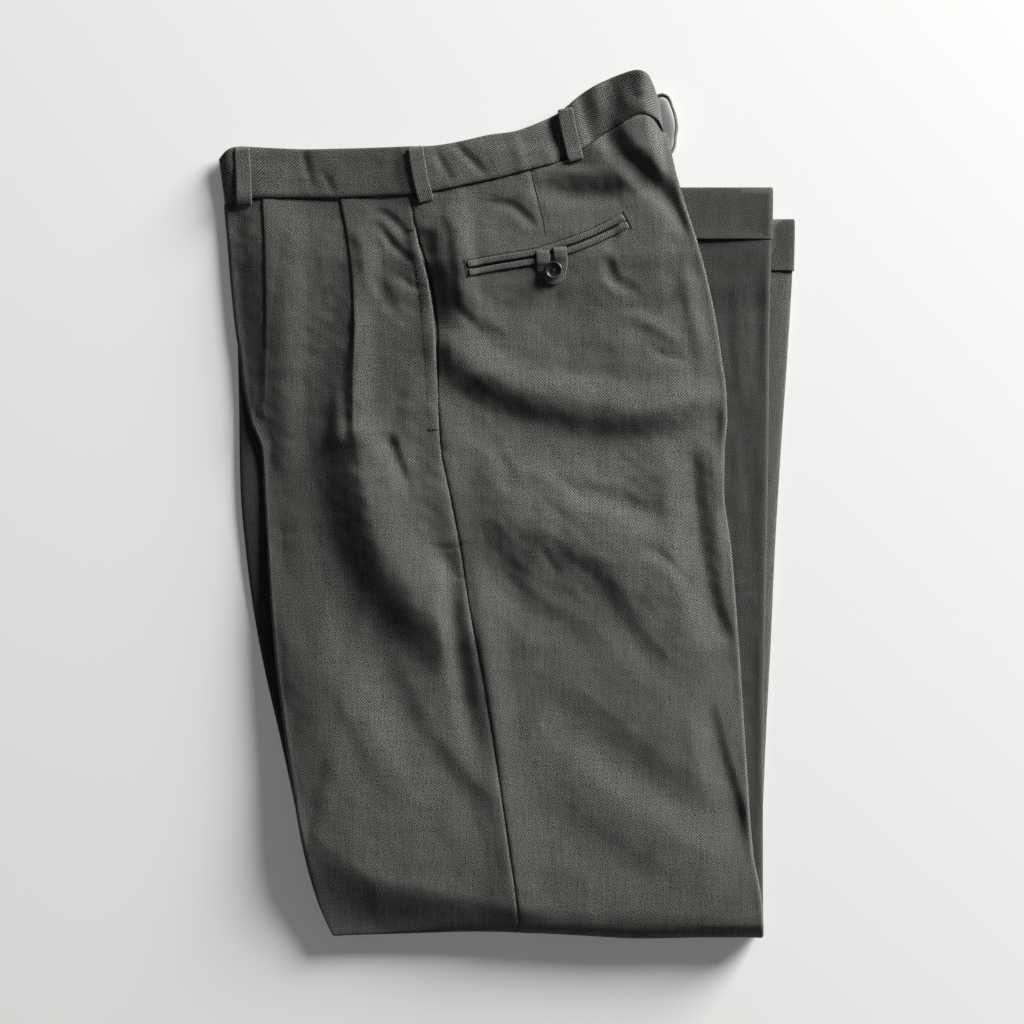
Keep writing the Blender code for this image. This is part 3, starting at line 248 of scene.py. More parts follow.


# ---------------------------------------------------------------- creases
# name, height (minus for a trough), width to the left and to the right of the line's run, sharpness 0-1,
# then the points of the line: x, y, share of the height there.
CREASES = [
    ("below_pleat", -5.6, 36, 62, 0.15, [(-150, 150, 0.05), (-150, 110, 0.25), (-150, 80, 0.45), (-148, 52, 0.75), (-144, 19, 0.95), (-138, -11, 1),
                                         (-131, -41, 1), (-120, -66, 1), (-106, -87, 0.95), (-88, -107, 0.85), (-66, -121, 0.6), (-47, -130, 0.15)]),
    ("below_pleat_wall", 5.4, 44, 35, 0.3, [(-113, 66, 0), (-112.5, 48, 0.6), (-110, 19, 1), (-104, -4, 1), (-96, -26, 1), (-84, -45, 1),
                                            (-71, -64, 1), (-58, -80, 0.9), (-47, -101, 0.6), (-40, -119, 0.1)]),
    ("pleat_two_edge", 3.4, 18, 26, 0.3, [(-118, 200, 0), (-115, 165, 0.6), (-114.5, 140, 0.9), (-114.5, 100, 1), (-114.5, 60, 0.9), (-112, 30, 0)]),
    ("pleat_one_rise", 1.9, 34, 22, 0.0, [(-184, 240, 0.8), (-182, 200, 0.9), (-181, 130, 1), (-183, 70, 0.8), (-183, 20, 0)]),
    ("pad", 1.7, 9, 7, 0.0, [(-127, 80, 0.3), (-128, 60, 0.8), (-128, 50, 1), (-125, 42, 0)]),
    ("small_front", -2.2, 6, 12, 0.5, [(-92, 58, 0), (-86, 44, 1), (-80, 27, 0.9), (-73, 8, 0)]),
    ("tail", -2.3, 17, 30, 0.0, [(-106, -92, 0.2), (-86, -140, 1), (-60, -186, 0.9), (-28, -222, 0.5), (-8, -240, 0)]),
    ("beside_seam", -3.6, 12, 13, 0.3, [(-47, -28, 0), (-45, -42, 0.8), (-42, -54, 0.7), (-41, -80, 1), (-36, -112, 1), (-31, -146, 0.9), (-27, -168, 0.5),
                                       (-20, -190, 0.2), (-14, -206, 0)]),
    ("seam_low_ridge", 1.7, 30, 26, 0.3, [(-9, -186, 0), (-3, -220, 0.8), (2, -252, 1), (6, -288, 1), (9, -320, 0.5)]),
    ("seam_ridge", 1.5, 19, 8, 0.0, [(-24, -34, 0), (-20, -70, 0.8), (-14, -130, 1), (-6, -180, 0.8), (2, -215, 0)]),
    ("mouth_hollow", -1.8, 9, 8, 0.2, [(-62, 210, 0.1), (-61, 196, 1), (-58, 182, 0.5), (-52, 168, 0.3), (-50, 130, 0.2),
                                       (-50, 112, 0.8), (-50, 98, 0.3), (-49, 86, 0)]),
    ("mouth_ridge", 2.4, 15, 9, 0.0, [(-43, 226, 0), (-38, 205, 0.8), (-34, 175, 1), (-31, 152, 0.9), (-14, 138, 0.5), (8, 132, 0)]),
    ("pocket_ridge", 3.9, 24, 24, 0.3, [(-52, 142, 0.1), (-46, 125, 0.75), (-24, 104, 1), (2, 90, 1), (30, 82, 1), (55, 78, 1),
                                        (100, 71, 0.95), (136, 76, 0.8), (162, 80, 0.3)]),
    ("under_ridge", -2.9, 22, 32, 0.1, [(-54, 92, 0.2), (-42, 86, 0.6), (-28, 80, 0.8), (-12, 70, 0.8), (10, 60, 0.9), (45, 49, 1), (80, 45, 1), (115, 51, 0.9),
                                        (148, 62, 0.9), (166, 68, 0.3)]),
    ("under_ridge_2", 1.3, 9, 9, 0.2, [(-48, 84, 0), (-38, 92, 0.9), (-26, 97, 0.8), (-10, 94, 0)]),
    ("slope_crest", 5.0, 56, 44, 0.0, [(-34, -4, 0.2), (0, -10, 0.9), (38, -22, 1), (72, -38, 1), (96, -60, 0.6), (112, -86, 0)]),
    ("back_a", -1.5, 15, 22, 0.2, [(-22, -14, 0.1), (-8, -34, 0.7), (0, -58, 1), (22, -82, 1), (44, -94, 0.9), (72, -118, 0)]),
    ("back_b", -1.5, 14, 20, 0.2, [(8, -18, 0), (30, -36, 0.7), (62, -52, 1), (82, -82, 1), (98, -106, 0.9), (128, -134, 0)]),
    ("back_b_sprig", -0.8, 5, 6, 0.4, [(22, -26, 0), (32, -44, 0.9), (42, -56, 0)]),
    ("back_c", -1.5, 11, 15, 0.2, [(42, 22, 0), (60, 10, 0.8), (84, 2, 1), (106, -6, 0.8), (126, -12, 0)]),
    ("back_c_low", -1.2, 6, 8, 0.3, [(96, -30, 0), (112, -36, 0.9), (130, -52, 0.5), (138, -66, 0)]),
    ("back_d", -2.1, 24, 28, 0.15, [(24, -138, 0), (40, -152, 0.7), (68, -176, 1), (100, -202, 1), (140, -226, 0.9), (166, -239, 0.8), (182, -247, 0.2)]),
    ("back_d_swell", 1.3, 30, 30, 0.0, [(30, -196, 0), (66, -216, 1), (110, -246, 1), (150, -270, 0.6), (176, -282, 0)]),
    ("seat_trough", -3.4, 10, 25, 0.3, [(136, 52, 0), (139, 30, 0.8), (141, 4, 1), (144, -22, 0.9), (147, -46, 0.8), (152, -70, 0.9),
                                       (159, -90, 0.8), (167, -106, 0)]),
    ("seat_rib", 1.2, 9, 8, 0.0, [(154, 48, 0), (157, 20, 1), (159, -20, 1), (163, -56, 0.7), (168, -84, 0)]),
    ("seat_low", -2.2, 8, 20, 0.2, [(148, -132, 0), (154, -166, 0.7), (162, -196, 1), (172, -226, 1), (182, -250, 0.1)]),
    ("seat_hollow", -4.7, 12, 14, 0.3, [(70, 288, 0.2), (82, 268, 0.8), (97, 253, 1), (110, 241, 0.7), (120, 231, 0.42), (130, 217, 0.2), (137, 204, 0)]),
    ("seat_hollow_tail", -0.9, 6, 9, 0.3, [(112, 240, 0), (118, 232, 0.8), (125, 222, 1), (131, 210, 0.6), (136, 200, 0)]),
    ("seat_hollow_rib", 0.8, 10, 14, 0.1, [(72, 260, 0), (86, 244, 0.9), (100, 228, 1), (114, 214, 0.8), (128, 198, 0)]),
    ("under_band", -2.2, 9, 13, 0.2, [(14, 236, 0), (28, 236, 0.8), (50, 233, 1), (74, 233, 1), (92, 238, 0.4), (100, 244, 0)]),
    ("under_band_crest", 1.4, 8, 8, 0.2, [(24, 248, 0), (44, 249, 1), (62, 247, 1), (82, 250, 0)]),
    ("waist_small_a", -1.5, 5, 7, 0.4, [(-22, 224, 0), (-8, 226, 0.8), (4, 224, 1), (16, 214, 0.8), (22, 206, 0)]),
    ("waist_small_b", -1.3, 5, 6, 0.3, [(-104, 218, 0), (-96, 219, 0.8), (-86, 214, 1), (-78, 205, 0.5), (-72, 200, 0)]),
    ("waist_small_c", -1.5, 5, 6, 0.3, [(-99, 211, 0), (-92, 203, 0.9), (-84, 193, 1), (-75, 185, 0.8), (-70, 180, 0)]),
    ("waist_small_d", -1.2, 5, 5, 0.3, [(-84, 176, 0), (-76, 167, 0.9), (-66, 163, 1), (-58, 166, 0)]),
    ("pleat_two_swell", 1.3, 13, 7, 0.0, [(-116, 214, 0), (-110, 196, 0.9), (-106, 176, 1), (-104, 162, 0.6), (-100, 150, 0)]),
    ("pleat_two_dent", -1.3, 9, 8, 0.1, [(-98, 172, 0), (-94, 160, 1), (-88, 150, 0.8), (-80, 146, 0)]),
    ("front_swell", 1.0, 16, 14, 0.0, [(-158, 214, 0), (-160, 180, 0.8), (-165, 120, 1), (-166, 60, 1), (-160, -10, 0.8), (-142, -90, 0.5), (-124, -150, 0)]),
    ("button_right", -1.8, 7, 8, 0.2, [(70, 186, 0), (76, 178, 1), (80, 168, 0.9), (92, 162, 0.8), (100, 160, 0)]),
    ("button_right_top", -1.3, 6, 6, 0.2, [(80, 214, 0), (79, 200, 1), (76, 188, 0)]),
    ("pocket_end_line", -1.0, 4, 5, 0.5, [(96, 132, 0), (108, 142, 0.8), (120, 154, 1), (128, 164, 0)]),
    ("pocket_low_crest", 1.1, 9, 7, 0.2, [(84, 142, 0), (100, 138, 1), (118, 128, 0.9), (136, 118, 0)]),
    ("seam_cross", -0.9, 2.5, 3.5, 0.5, [(-58, -30, 0), (-48, -32, 1), (-38, -31, 1), (-27, -27, 0)]),
    ("seam_cross_low", -0.7, 3, 4, 0.4, [(-46, -50, 0), (-38, -54, 1), (-28, -52, 0)]),
    ("front_low_a", -0.8, 12, 18, 0.0, [(-142, -120, 0), (-128, -160, 1), (-108, -200, 0.8), (-80, -236, 0)]),
    ("front_low_b", 0.7, 14, 18, 0.0, [(-72, -150, 0), (-58, -196, 1), (-34, -246, 0.8), (-18, -280, 0)]),
    ("back_low", -0.9, 22, 26, 0.0, [(24, -228, 0), (52, -250, 1), (88, -272, 0.8), (120, -286, 0)]),
    ("back_mid_a", 0.9, 10, 12, 0.0, [(14, 30, 0), (30, 16, 1), (48, -2, 0.8), (60, -16, 0)]),
    ("back_mid_b", -0.8, 8, 9, 0.0, [(-22, 58, 0), (-8, 40, 1), (2, 18, 0.7), (6, 2, 0)]),
    ("seat_small", -0.9, 5, 6, 0.3, [(104, 118, 0), (116, 112, 1), (130, 110, 0.8), (142, 106, 0)]),
    ("dart", -0.7, 5, 3, 0.6, [(17.0, 252, 0.9), (19.8, 240, 1), (23.4, 225, 0.8), (28.6, 202, 0.2)]),
    ("seat_high_rib", 1.2, 10, 9, 0.1, [(126, 190, 0), (134, 164, 0.9), (141, 134, 1), (146, 108, 0.6), (148, 92, 0)]),
]

# The right leg's shin that shows beside the thigh, and the left leg's beyond it.
SHIN_CREASES = [
    ("shin_a", -1.0, 8, 9, 0.1, [(186, 186, 0), (187, 160, 1), (188, 120, 0.8), (186, 80, 0)]),
    ("shin_b", -0.8, 7, 8, 0.1, [(180, 70, 0), (182, 20, 1), (181, -40, 0.8), (180, -80, 0)]),
    ("shin_c", 0.7, 6, 8, 0.1, [(170, 190, 0), (172, 150, 1), (175, 100, 0.8), (177, 60, 0)]),
    ("shin_d", -0.7, 6, 5, 0.2, [(176, 176, 0), (184, 168, 1), (192, 158, 0)]),
    ("shin_e", -0.8, 9, 9, 0.1, [(184, -90, 0), (185, -140, 1), (186, -200, 0.9), (188, -250, 0)]),
]

# The side that lies on the table has creases of its own, of the same kind.
UNDER_CREASES = [
    ("u_a", -2.2, 18, 16, 0.1, [(-140, 150, 0), (-132, 90, 0.8), (-118, 20, 1), (-96, -40, 0.6), (-84, -64, 0)]),
    ("u_b", -2.4, 20, 18, 0.1, [(-40, 120, 0), (0, 96, 1), (50, 78, 1), (104, 84, 0.7), (150, 96, 0)]),
    ("u_c", -1.8, 14, 16, 0.1, [(-100, 190, 0), (-92, 150, 1), (-88, 110, 0)]),
    ("u_d", -1.6, 12, 14, 0.2, [(30, 212, 0), (60, 200, 1), (98, 204, 0.6), (120, 212, 0)]),
]


def curve_points(line, step=7.0):
    """The line through its points, drawn finely: x, y, share."""
    p = np.array(line, float)
    if len(p) == 2:
        return p
    seg = np.hypot(*(np.diff(p[:, :2], axis=0).T))
    q = np.vstack([2 * p[0] - p[1], p, 2 * p[-1] - p[-2]])
    t = np.concatenate([[0], np.cumsum(np.sqrt(np.maximum(np.hypot(*(np.diff(q[:, :2], axis=0).T)), 1e-6)))])
    out = []
    for i in range(1, len(q) - 2):
        n = max(2, int(math.ceil(seg[i - 1] / step)))
        d0, d1, d2 = t[i] - t[i - 1], t[i + 1] - t[i], t[i + 2] - t[i + 1]
        m1 = d1 * ((q[i] - q[i - 1]) / d0 - (q[i + 1] - q[i - 1]) / (d0 + d1) + (q[i + 1] - q[i]) / d1)
        m2 = d1 * ((q[i + 1] - q[i]) / d1 - (q[i + 2] - q[i]) / (d1 + d2) + (q[i + 2] - q[i + 1]) / d2)
        for u in np.arange(n) / n:
            h = (2 * u ** 3 - 3 * u ** 2 + 1, u ** 3 - 2 * u ** 2 + u, -2 * u ** 3 + 3 * u ** 2, u ** 3 - u ** 2)
            r = h[0] * q[i] + h[1] * m1 + h[2] * q[i + 1] + h[3] * m2
            r[2] = q[i][2] + (q[i + 1][2] - q[i][2]) * (3 * u * u - 2 * u ** 3)
            out.append(r)
    out.append(q[-2])
    return np.array(out)


def crease_field(table, x, y):
    """Height of all the creases of a table at x, y."""
    x, y = np.broadcast_arrays(np.asarray(x, float), np.asarray(y, float))
    shape = x.shape
    x, y = x.ravel(), y.ravel()
    total = np.zeros(x.shape)
    for name, height, left, right, sharp, line in table:
        pts = curve_points(line)
        reach = max(left, right) + 1.0
        near = np.nonzero((x > pts[:, 0].min() - reach) & (x < pts[:, 0].max() + reach)
                          & (y > pts[:, 1].min() - reach) & (y < pts[:, 1].max() + reach))[0]
        if not len(near):
            continue
        px, py = x[near], y[near]
        best = np.full(px.shape, 1e9)
        value = np.zeros(px.shape)
        for a, b in zip(pts, pts[1:]):
            sx, sy = b[0] - a[0], b[1] - a[1]
            ln2 = sx * sx + sy * sy
            if ln2 < 1e-9:
                continue
            t = np.clip(((px - a[0]) * sx + (py - a[1]) * sy) / ln2, 0, 1)
            dx, dy = px - a[0] - t * sx, py - a[1] - t * sy
            d = np.hypot(dx, dy)
            side = (sx * dy - sy * dx) / math.sqrt(ln2) / np.maximum(d, 1e-9)
            share = a[2] + (b[2] - a[2]) * t
            mix = 0.5 + 0.5 * side
            width = right + (left - right) * (mix * mix * (3 - 2 * mix))
            r = np.clip(d / width, 0, 1)
            soft = (1 - r * r) ** 2
            keen = (1 - r) ** 2 * (1 + 0.6 * r)
            v = share * (soft + (keen - soft) * sharp)
            take = d < best - 1e-9
            value = np.where(take, v, value)
            best = np.where(take, d, best)
        total[near] += height * value
    return total.reshape(shape)


def ripple(count, low, high, seed, lean=0.0, stretch=1.0):
    """Small uneven waves of the cloth: a function of x and y of about unit height."""
    rng = np.random.default_rng(seed)
    wl = np.exp(rng.uniform(math.log(low), math.log(high), count))
    an = rng.uniform(0, 2 * math.pi, count)
    kx = 2 * math.pi / wl * np.cos(an) * stretch
    ky = 2 * math.pi / wl * np.sin(an)
    c, s = math.cos(lean), math.sin(lean)
    kx, ky = kx * c - ky * s, kx * s + ky * c
    ph = rng.uniform(0, 2 * math.pi, count)
    amp = (wl / high) ** 0.6
    amp = amp / math.sqrt((amp ** 2).sum() / 2)

    def at(x, y):
        x, y = np.broadcast_arrays(np.asarray(x, float), np.asarray(y, float))
        out = np.zeros(x.shape)
        for a, b, p, m in zip(kx, ky, ph, amp):
            out += m * np.sin(a * x + b * y + p)
        return out
    return at


BROAD = ripple(26, 38, 120, 11, lean=-0.6, stretch=1.5)
FINE = ripple(40, 9, 34, 12, lean=-0.4, stretch=1.3)
PATCH = ripple(12, 70, 180, 13)


# ---------------------------------------------------------------- levels of the shown cloth
THICK = 0.6                 # cloth, in the shown shells
SHELL_PITCH = 0.72          # layer to layer in a pleat, in the shown shells
BAND_TOP = [(-150, -238), (-135, -250), (-98, -279), (-45, -288), (2, -298), (69, -304), (120, -308), (185, -313), (200, -314)]


def squeeze(x, y):
    """The knee fold rounds over well before its edge, most of all at the front."""
    top = np.interp(x, [p[0] for p in BAND_TOP], [p[1] for p in BAND_TOP])
    full = np.interp(x, [-150, -100, -40, 30, 190], [0.93, 0.94, 0.52, 0.19, 0.16])
    return full * smooth(top, knee_y(x) + 3.0, y)


def settle(x, y, z):
    return np.where(z > CORE, CORE + (z - CORE) * (1 - squeeze(x, y)), z)


def mouth_depth(y):
    """How far the cloth behind the side pocket's opening lies below its front edge."""
    return 1.5 * smooth(212, 190, y) * smooth(72, 96, y) + 4.6 * smooth(184, 160, y) * smooth(116, 138, y) + 1.4 * smooth(208, 200, y) * smooth(180, 190, y)


def mouth(x, y):
    """Side pocket: the front edge of its opening stands a little, the cloth behind it sinks."""
    d = x - side_seam(y)
    along = smooth(212, 186, y) * smooth(72, 100, y)
    lift = 0.5 * smooth(-11, -1.5, d) * (d < 0) * along
    sink = -mouth_depth(y) * (d >= 0) * (1 - smooth(0, 23, d))
    pull = -0.5 * np.exp(-((d + 8.6) / 1.0) ** 2) * smooth(214, 205, y) * smooth(70, 80, y) * (d < 0)
    return lift + sink + pull


def left_top(x, y, folds=1.0):
    """Middle of the left outer panel as shown."""
    edge = np.minimum(x - front_edge(y), back_edge(y) - x)
    rise = smooth(0, 45, edge)
    quiet = smooth(0.5, 8, edge)
    z = left_base(x, y) + loft_edge(y) + (loft_middle(y) - loft_edge(y)) * rise
    z = z + 8.5 * smooth(34, 98, x) * smooth(0, 15, back_edge(y) - x) * smooth(228, 268, y)
    z = z - 1.8 * np.exp(-((x - 78) / 11.0) ** 2) * smooth(244, 266, y)
    if folds:
        front = x - front_edge(y)
        z = z - 3.0 * (1 - smooth(-2, 30, front)) ** 1.3 * smooth(40, 84, y)
        open_front = front + 30 * smooth(-250, -200, y) * smooth(110, 70, y)
        z = z + crease_field(CREASES, x, y) * smooth(0.5, 8, np.minimum(open_front, back_edge(y) - x))
        calm = 0.55 + 0.45 * smooth(-230, -120, y)
        z = z + (0.34 * BROAD(x, y) * calm + 0.13 * FINE(x, y) * (0.55 + 0.45 * smooth(-200, 20, y))) * quiet
        z = z + mouth(x, y)
        d = np.abs(x - side_seam(y))
        seam = smooth(-330, -300, y) * (smooth(80, 66, y) + smooth(206, 216, y))
        z = z - 0.2 * np.exp(-(d / 1.2) ** 2) * seam
        z = z - 0.7 * (1 - smooth(0, 20, front)) * smooth(-235, -170, y) * smooth(62, 22, y)
    return z


def right_top(x, y, folds=1.0):
    """Middle of the right outer panel, which lies below."""
    z = right_level(x, y) + 0.8 * smooth(40, 4, x - front_edge(y)) * smooth(2, 9, x - under_front(y)) * smooth(-250, -190, y) * smooth(120, 60, y)
    if folds:
        quiet = smooth(2, 24, np.minimum(x - under_front(y), back_edge(y) - x))
        free = 1 - on_shins(x, y)
        z = z + np.maximum(-crease_field(UNDER_CREASES, x, y) * quiet * free, 0.0) * 0.8
        z = z + 0.3 * (1 + np.clip(BROAD(x + 40, y), -1, 1)) * quiet * free
    return z


# ---------------------------------------------------------------- panels as closed shells
Panel = namedtuple("Panel", "columns counts level side knee_out shin_out shin_in hem")
Col = namedtuple("Col", "thigh shin deep")          # x on the thigh, x on the shin, depth under the outer layer on the thigh


def zero(y):
    return 0.0 * y


def refine(xd, counts):
    """A smooth line through the columns of every row; counts gives the steps from each column to the next."""
    p = np.concatenate([2 * xd[:, :1] - xd[:, 1:2], xd, 2 * xd[:, -1:] - xd[:, -2:-1]], axis=1)
    dt = np.maximum(np.sqrt(np.hypot(*np.moveaxis(np.diff(p, axis=1), 2, 0))), 1e-3)[..., None]
    out = []
    for i, n in enumerate(counts):
        a, b, c, d = p[:, i], p[:, i + 1], p[:, i + 2], p[:, i + 3]
        d0, d1, d2 = dt[:, i], dt[:, i + 1], dt[:, i + 2]
        m1 = d1 * ((b - a) / d0 - (c - a) / (d0 + d1) + (c - b) / d1)
        m2 = d1 * ((c - b) / d1 - (d - b) / (d1 + d2) + (d - c) / d2)
        for u in np.arange(n) / n:
            out.append((2 * u ** 3 - 3 * u ** 2 + 1) * b + (u ** 3 - 2 * u ** 2 + u) * m1
                       + (-2 * u ** 3 + 3 * u ** 2) * c + (u ** 3 - u ** 2) * m2)
    out.append(p[:, -2])
    return np.stack(out, axis=1)


def rows_of(thigh_rows, turns, shin_rows):
    rows = [("thigh", float(y), 0.0) for y in thigh_rows]
    rows += [("knee", 0.0, float(t)) for t in turns]
    rows += [("shin", float(y), math.pi) for y in shin_rows]
    return rows


def panel_points(panel, rows):
    """Middle surface of a panel: array rows x columns x 3, in millimetres."""
    c = len(panel.columns)
    grid = []
    arms = np.array([r[0] for r in rows])
    ys = np.array([r[1] for r in rows])
    turn = np.array([r[2] for r in rows])
    slope = np.clip((ys - 60.0) / 171.0, 0, 1)
    result = np.zeros((len(rows), sum(panel.counts) + 1, 3))

    th = arms == "thigh"
    y0, sl = ys[th], slope[th]
    xd = np.zeros((th.sum(), c, 2))
    for j, col in enumerate(panel.columns):
        y = y0.copy()
        x = col.thigh(y) + zero(y)
        for _ in range(5):
            y = y0 + sl * (waist_y(x) - 231.0) - SEAM * (y0 > 230)
            x = col.thigh(y) + zero(y)
        xd[:, j, 0], xd[:, j, 1] = x, col.deep(y) + zero(y)
    fine = refine(xd, panel.counts)
    x = fine[..., 0]
    y = y0[:, None] + sl[:, None] * (waist_y(x) - 231.0) - SEAM * (y0 > 230)[:, None]
    z = panel.level(x, y) - panel.side * fine[..., 1]
    if panel.side > 0:
        z = z - 0.45 * smooth(228.0, 230.6, y0)[:, None]
    result[th] = np.stack([x, y, settle(x, y, z)], axis=-1)

    kn = arms == "knee"
    tn = turn[kn]
    xd = np.zeros((kn.sum(), c, 2))
    for j, col in enumerate(panel.columns):
        d = col.deep(np.full(tn.shape, -320.0)) + zero(tn)
        x = np.zeros(tn.shape)
        for _ in range(5):
            y = knee_y(x) + FOLD_OUT + 0.5 - (panel.knee_out - panel.side * d) * np.sin(tn)
            x = np.where(tn <= math.pi / 2, col.thigh(y), col.shin(y))
        xd[:, j, 0], xd[:, j, 1] = x, d
    fine = refine(xd, panel.counts)
    x, h = fine[..., 0], panel.knee_out - panel.side * fine[..., 1]
    y = knee_y(x) + FOLD_OUT + 0.5 - h * np.sin(tn)[:, None]
    z = CORE + h * np.cos(tn)[:, None]
    result[kn] = np.stack([x, y, settle(x, y, z)], axis=-1)

    sh = arms == "shin"
    y0 = ys[sh]
    if len(y0):
        xd = np.zeros((sh.sum(), c, 2))
        for j, col in enumerate(panel.columns):
            xd[:, j, 0] = col.shin(y0) + zero(y0)
            xd[:, j, 1] = col.deep(np.full(y0.shape, -320.0)) + zero(y0)
        fine = refine(xd, panel.counts)
        x = fine[..., 0]
        y = np.broadcast_to(y0[:, None], x.shape)
        z = panel.shin_out(x, y) + (panel.shin_in(x, y) - panel.shin_out(x, y)) * fine[..., 1] / LAP
        result[sh] = np.stack([x, y, z], axis=-1)
    return result


def normals_of(p):
    dr = np.gradient(p, axis=0)
    dc = np.gradient(p, axis=1)
    n = np.cross(dr, dc)
    return n / np.maximum(np.linalg.norm(n, axis=2, keepdims=True), 1e-9)


def weave_map(p, ref, across=0):
    """Threads of the cloth at each point, in millimetres across and along the piece, straight along column ref."""
    step = np.diff(p, axis=1)
    du = np.sqrt(step[..., 0] ** 2 + step[..., 2] ** 2)
    u = np.concatenate([np.zeros((p.shape[0], 1)), np.cumsum(du, axis=1)], axis=1)
    u = u - u[:, ref:ref + 1]
    if across:                           # the same threads on both sides of a pleat that has closed over them
        x = p[..., 0] - p[:, ref, 0].mean()
        u = np.where((np.arange(p.shape[1]) - ref) * across >= 0, x, 2 * x[:, ref:ref + 1] - x)
    line = p[:, ref]
    run = np.concatenate([[0], np.cumsum(np.linalg.norm(np.diff(line, axis=0), axis=1))])
    tangent = np.gradient(line, axis=0)
    turn = np.arctan2(np.abs(tangent[:, 2]), -tangent[:, 1])
    turn = np.clip((turn - 0.6) / (math.pi - 1.2), 0, 1) * math.pi
    v = run[:, None] - (p[..., 1] - line[:, None, 1]) * np.cos(turn)[:, None]
    return np.stack([u, v], axis=-1)


def fill_mesh(name, verts, quads, uvs=None, tris=None):
    """A mesh in metres from arrays in millimetres; uvs are given for each vertex, in millimetres of cloth."""
    verts = np.asarray(verts, float) * MM
    quads = np.asarray(quads, np.int32).reshape(-1, 4)
    tris = np.zeros((0, 3), np.int32) if tris is None else np.asarray(tris, np.int32).reshape(-1, 3)
    mesh = bpy.data.meshes.new(name)
    mesh.vertices.add(len(verts))
    mesh.vertices.foreach_set("co", verts.astype(np.float32).ravel())
    loops = np.concatenate([quads.ravel(), tris.ravel()])
    mesh.loops.add(len(loops))
    mesh.loops.foreach_set("vertex_index", loops)
    mesh.polygons.add(len(quads) + len(tris))
    starts = np.concatenate([np.arange(len(quads)) * 4, len(quads) * 4 + np.arange(len(tris)) * 3]).astype(np.int32)
    mesh.polygons.foreach_set("loop_start", starts)
    if uvs is not None:
        layer = mesh.uv_layers.new(name="weave")
        layer.data.foreach_set("uv", (np.asarray(uvs, float)[loops] * MM).astype(np.float32).ravel())
    mesh.update(calc_edges=True)
    mesh.validate()
    mesh.shade_smooth()
    return mesh


def place(name, mesh, mat):
    ob = bpy.data.objects.new(name, mesh)
    mesh.materials.append(mat)
    bpy.context.scene.collection.objects.link(ob)
    return ob


def grid_quads(rows, cols, start=0, flip=False):
    i, j = np.meshgrid(np.arange(rows - 1), np.arange(cols - 1), indexing="ij")
    a = start + i * cols + j
    q = np.stack([a, a + cols, a + cols + 1, a + 1], axis=-1).reshape(-1, 4)
    return q[:, ::-1] if flip else q


def shell(name, p, out, mat, thick=THICK, ref=0, uv=None):
    """Closed thin cloth: out is +1 where cross(rows, columns) points to its outside."""
    r, c = p.shape[:2]
    n = normals_of(p) * out
    top, low = p + n * thick / 2, p - n * thick / 2
    verts = np.concatenate([top.reshape(-1, 3), low.reshape(-1, 3)])
    uv = weave_map(p, ref) if uv is None else uv
    uvs = np.concatenate([uv.reshape(-1, 2), uv.reshape(-1, 2)])
    m = r * c
    quads = [grid_quads(r, c, 0, out < 0), grid_quads(r, c, m, out > 0)]
    ring = np.concatenate([np.arange(c), np.arange(1, r) * c + c - 1, (r - 1) * c + np.arange(c - 2, -1, -1), np.arange(r - 2, 0, -1) * c])
    nxt = np.roll(ring, -1)
    rim = np.stack([ring, nxt, nxt + m, ring + m], axis=-1)
    quads.append(rim if out > 0 else rim[:, ::-1])
    return place(name, fill_mesh(name, verts, np.concatenate(quads), uvs), mat)


# ---------------------------------------------------------------- the four panels
SEAM_EDGE, SEAM_DEEP = 0.6, 0.8        # where a panel starts to turn in at the side seam, and how deep it goes


def pleat_cols(x0, depth, step):
    """A forward pleat: the right-hand cloth folds under at x0, turns back and goes on to the left below."""
    p = SHELL_PITCH
    out = []
    for i, (wall_x, wall_z) in enumerate([(-6.0, 2 * p), (-3.6, 1.5 * p), (-2.4, p), (-1.2, 0.5 * p), (0.0, 0.0)]):
        def thigh(y, i=i, wall_x=wall_x):
            d = depth(y)
            b = np.clip((3.0 - d) / 3.0, 0, 1)
            sharp = [-3.0 + zero(y), d, d, zero(y), zero(y)][i]
            return x0(y) + (1 - b) * sharp + b * wall_x

        def dip(y, i=i, wall_z=wall_z):
            b = np.clip((3.0 - depth(y)) / 3.0, 0, 1)
            return step(y) * ((1 - b) * [2 * p, 2 * p, p, p, 0.0][i] + b * wall_z)
        out.append((thigh, dip))
    out.append((lambda y: x0(y) + np.maximum(depth(y), 0.0) + 1.6, zero))
    return out


def eased(f, g):
    return lambda y: f(y) + (g(y) - f(y)) * smooth(-120, -312, y)


def front_x1(y):
    return np.maximum(crease(y), front_edge(y) + 12.0)


def step_one(y):
    return 0.62 * smooth(30, 96, y)


def step_two(y):
    """Pleat 2 opens before it ends, with a gap beside it."""
    return smooth(36, 78, y) * (0.62 + 0.7 * smooth(150, 128, y))


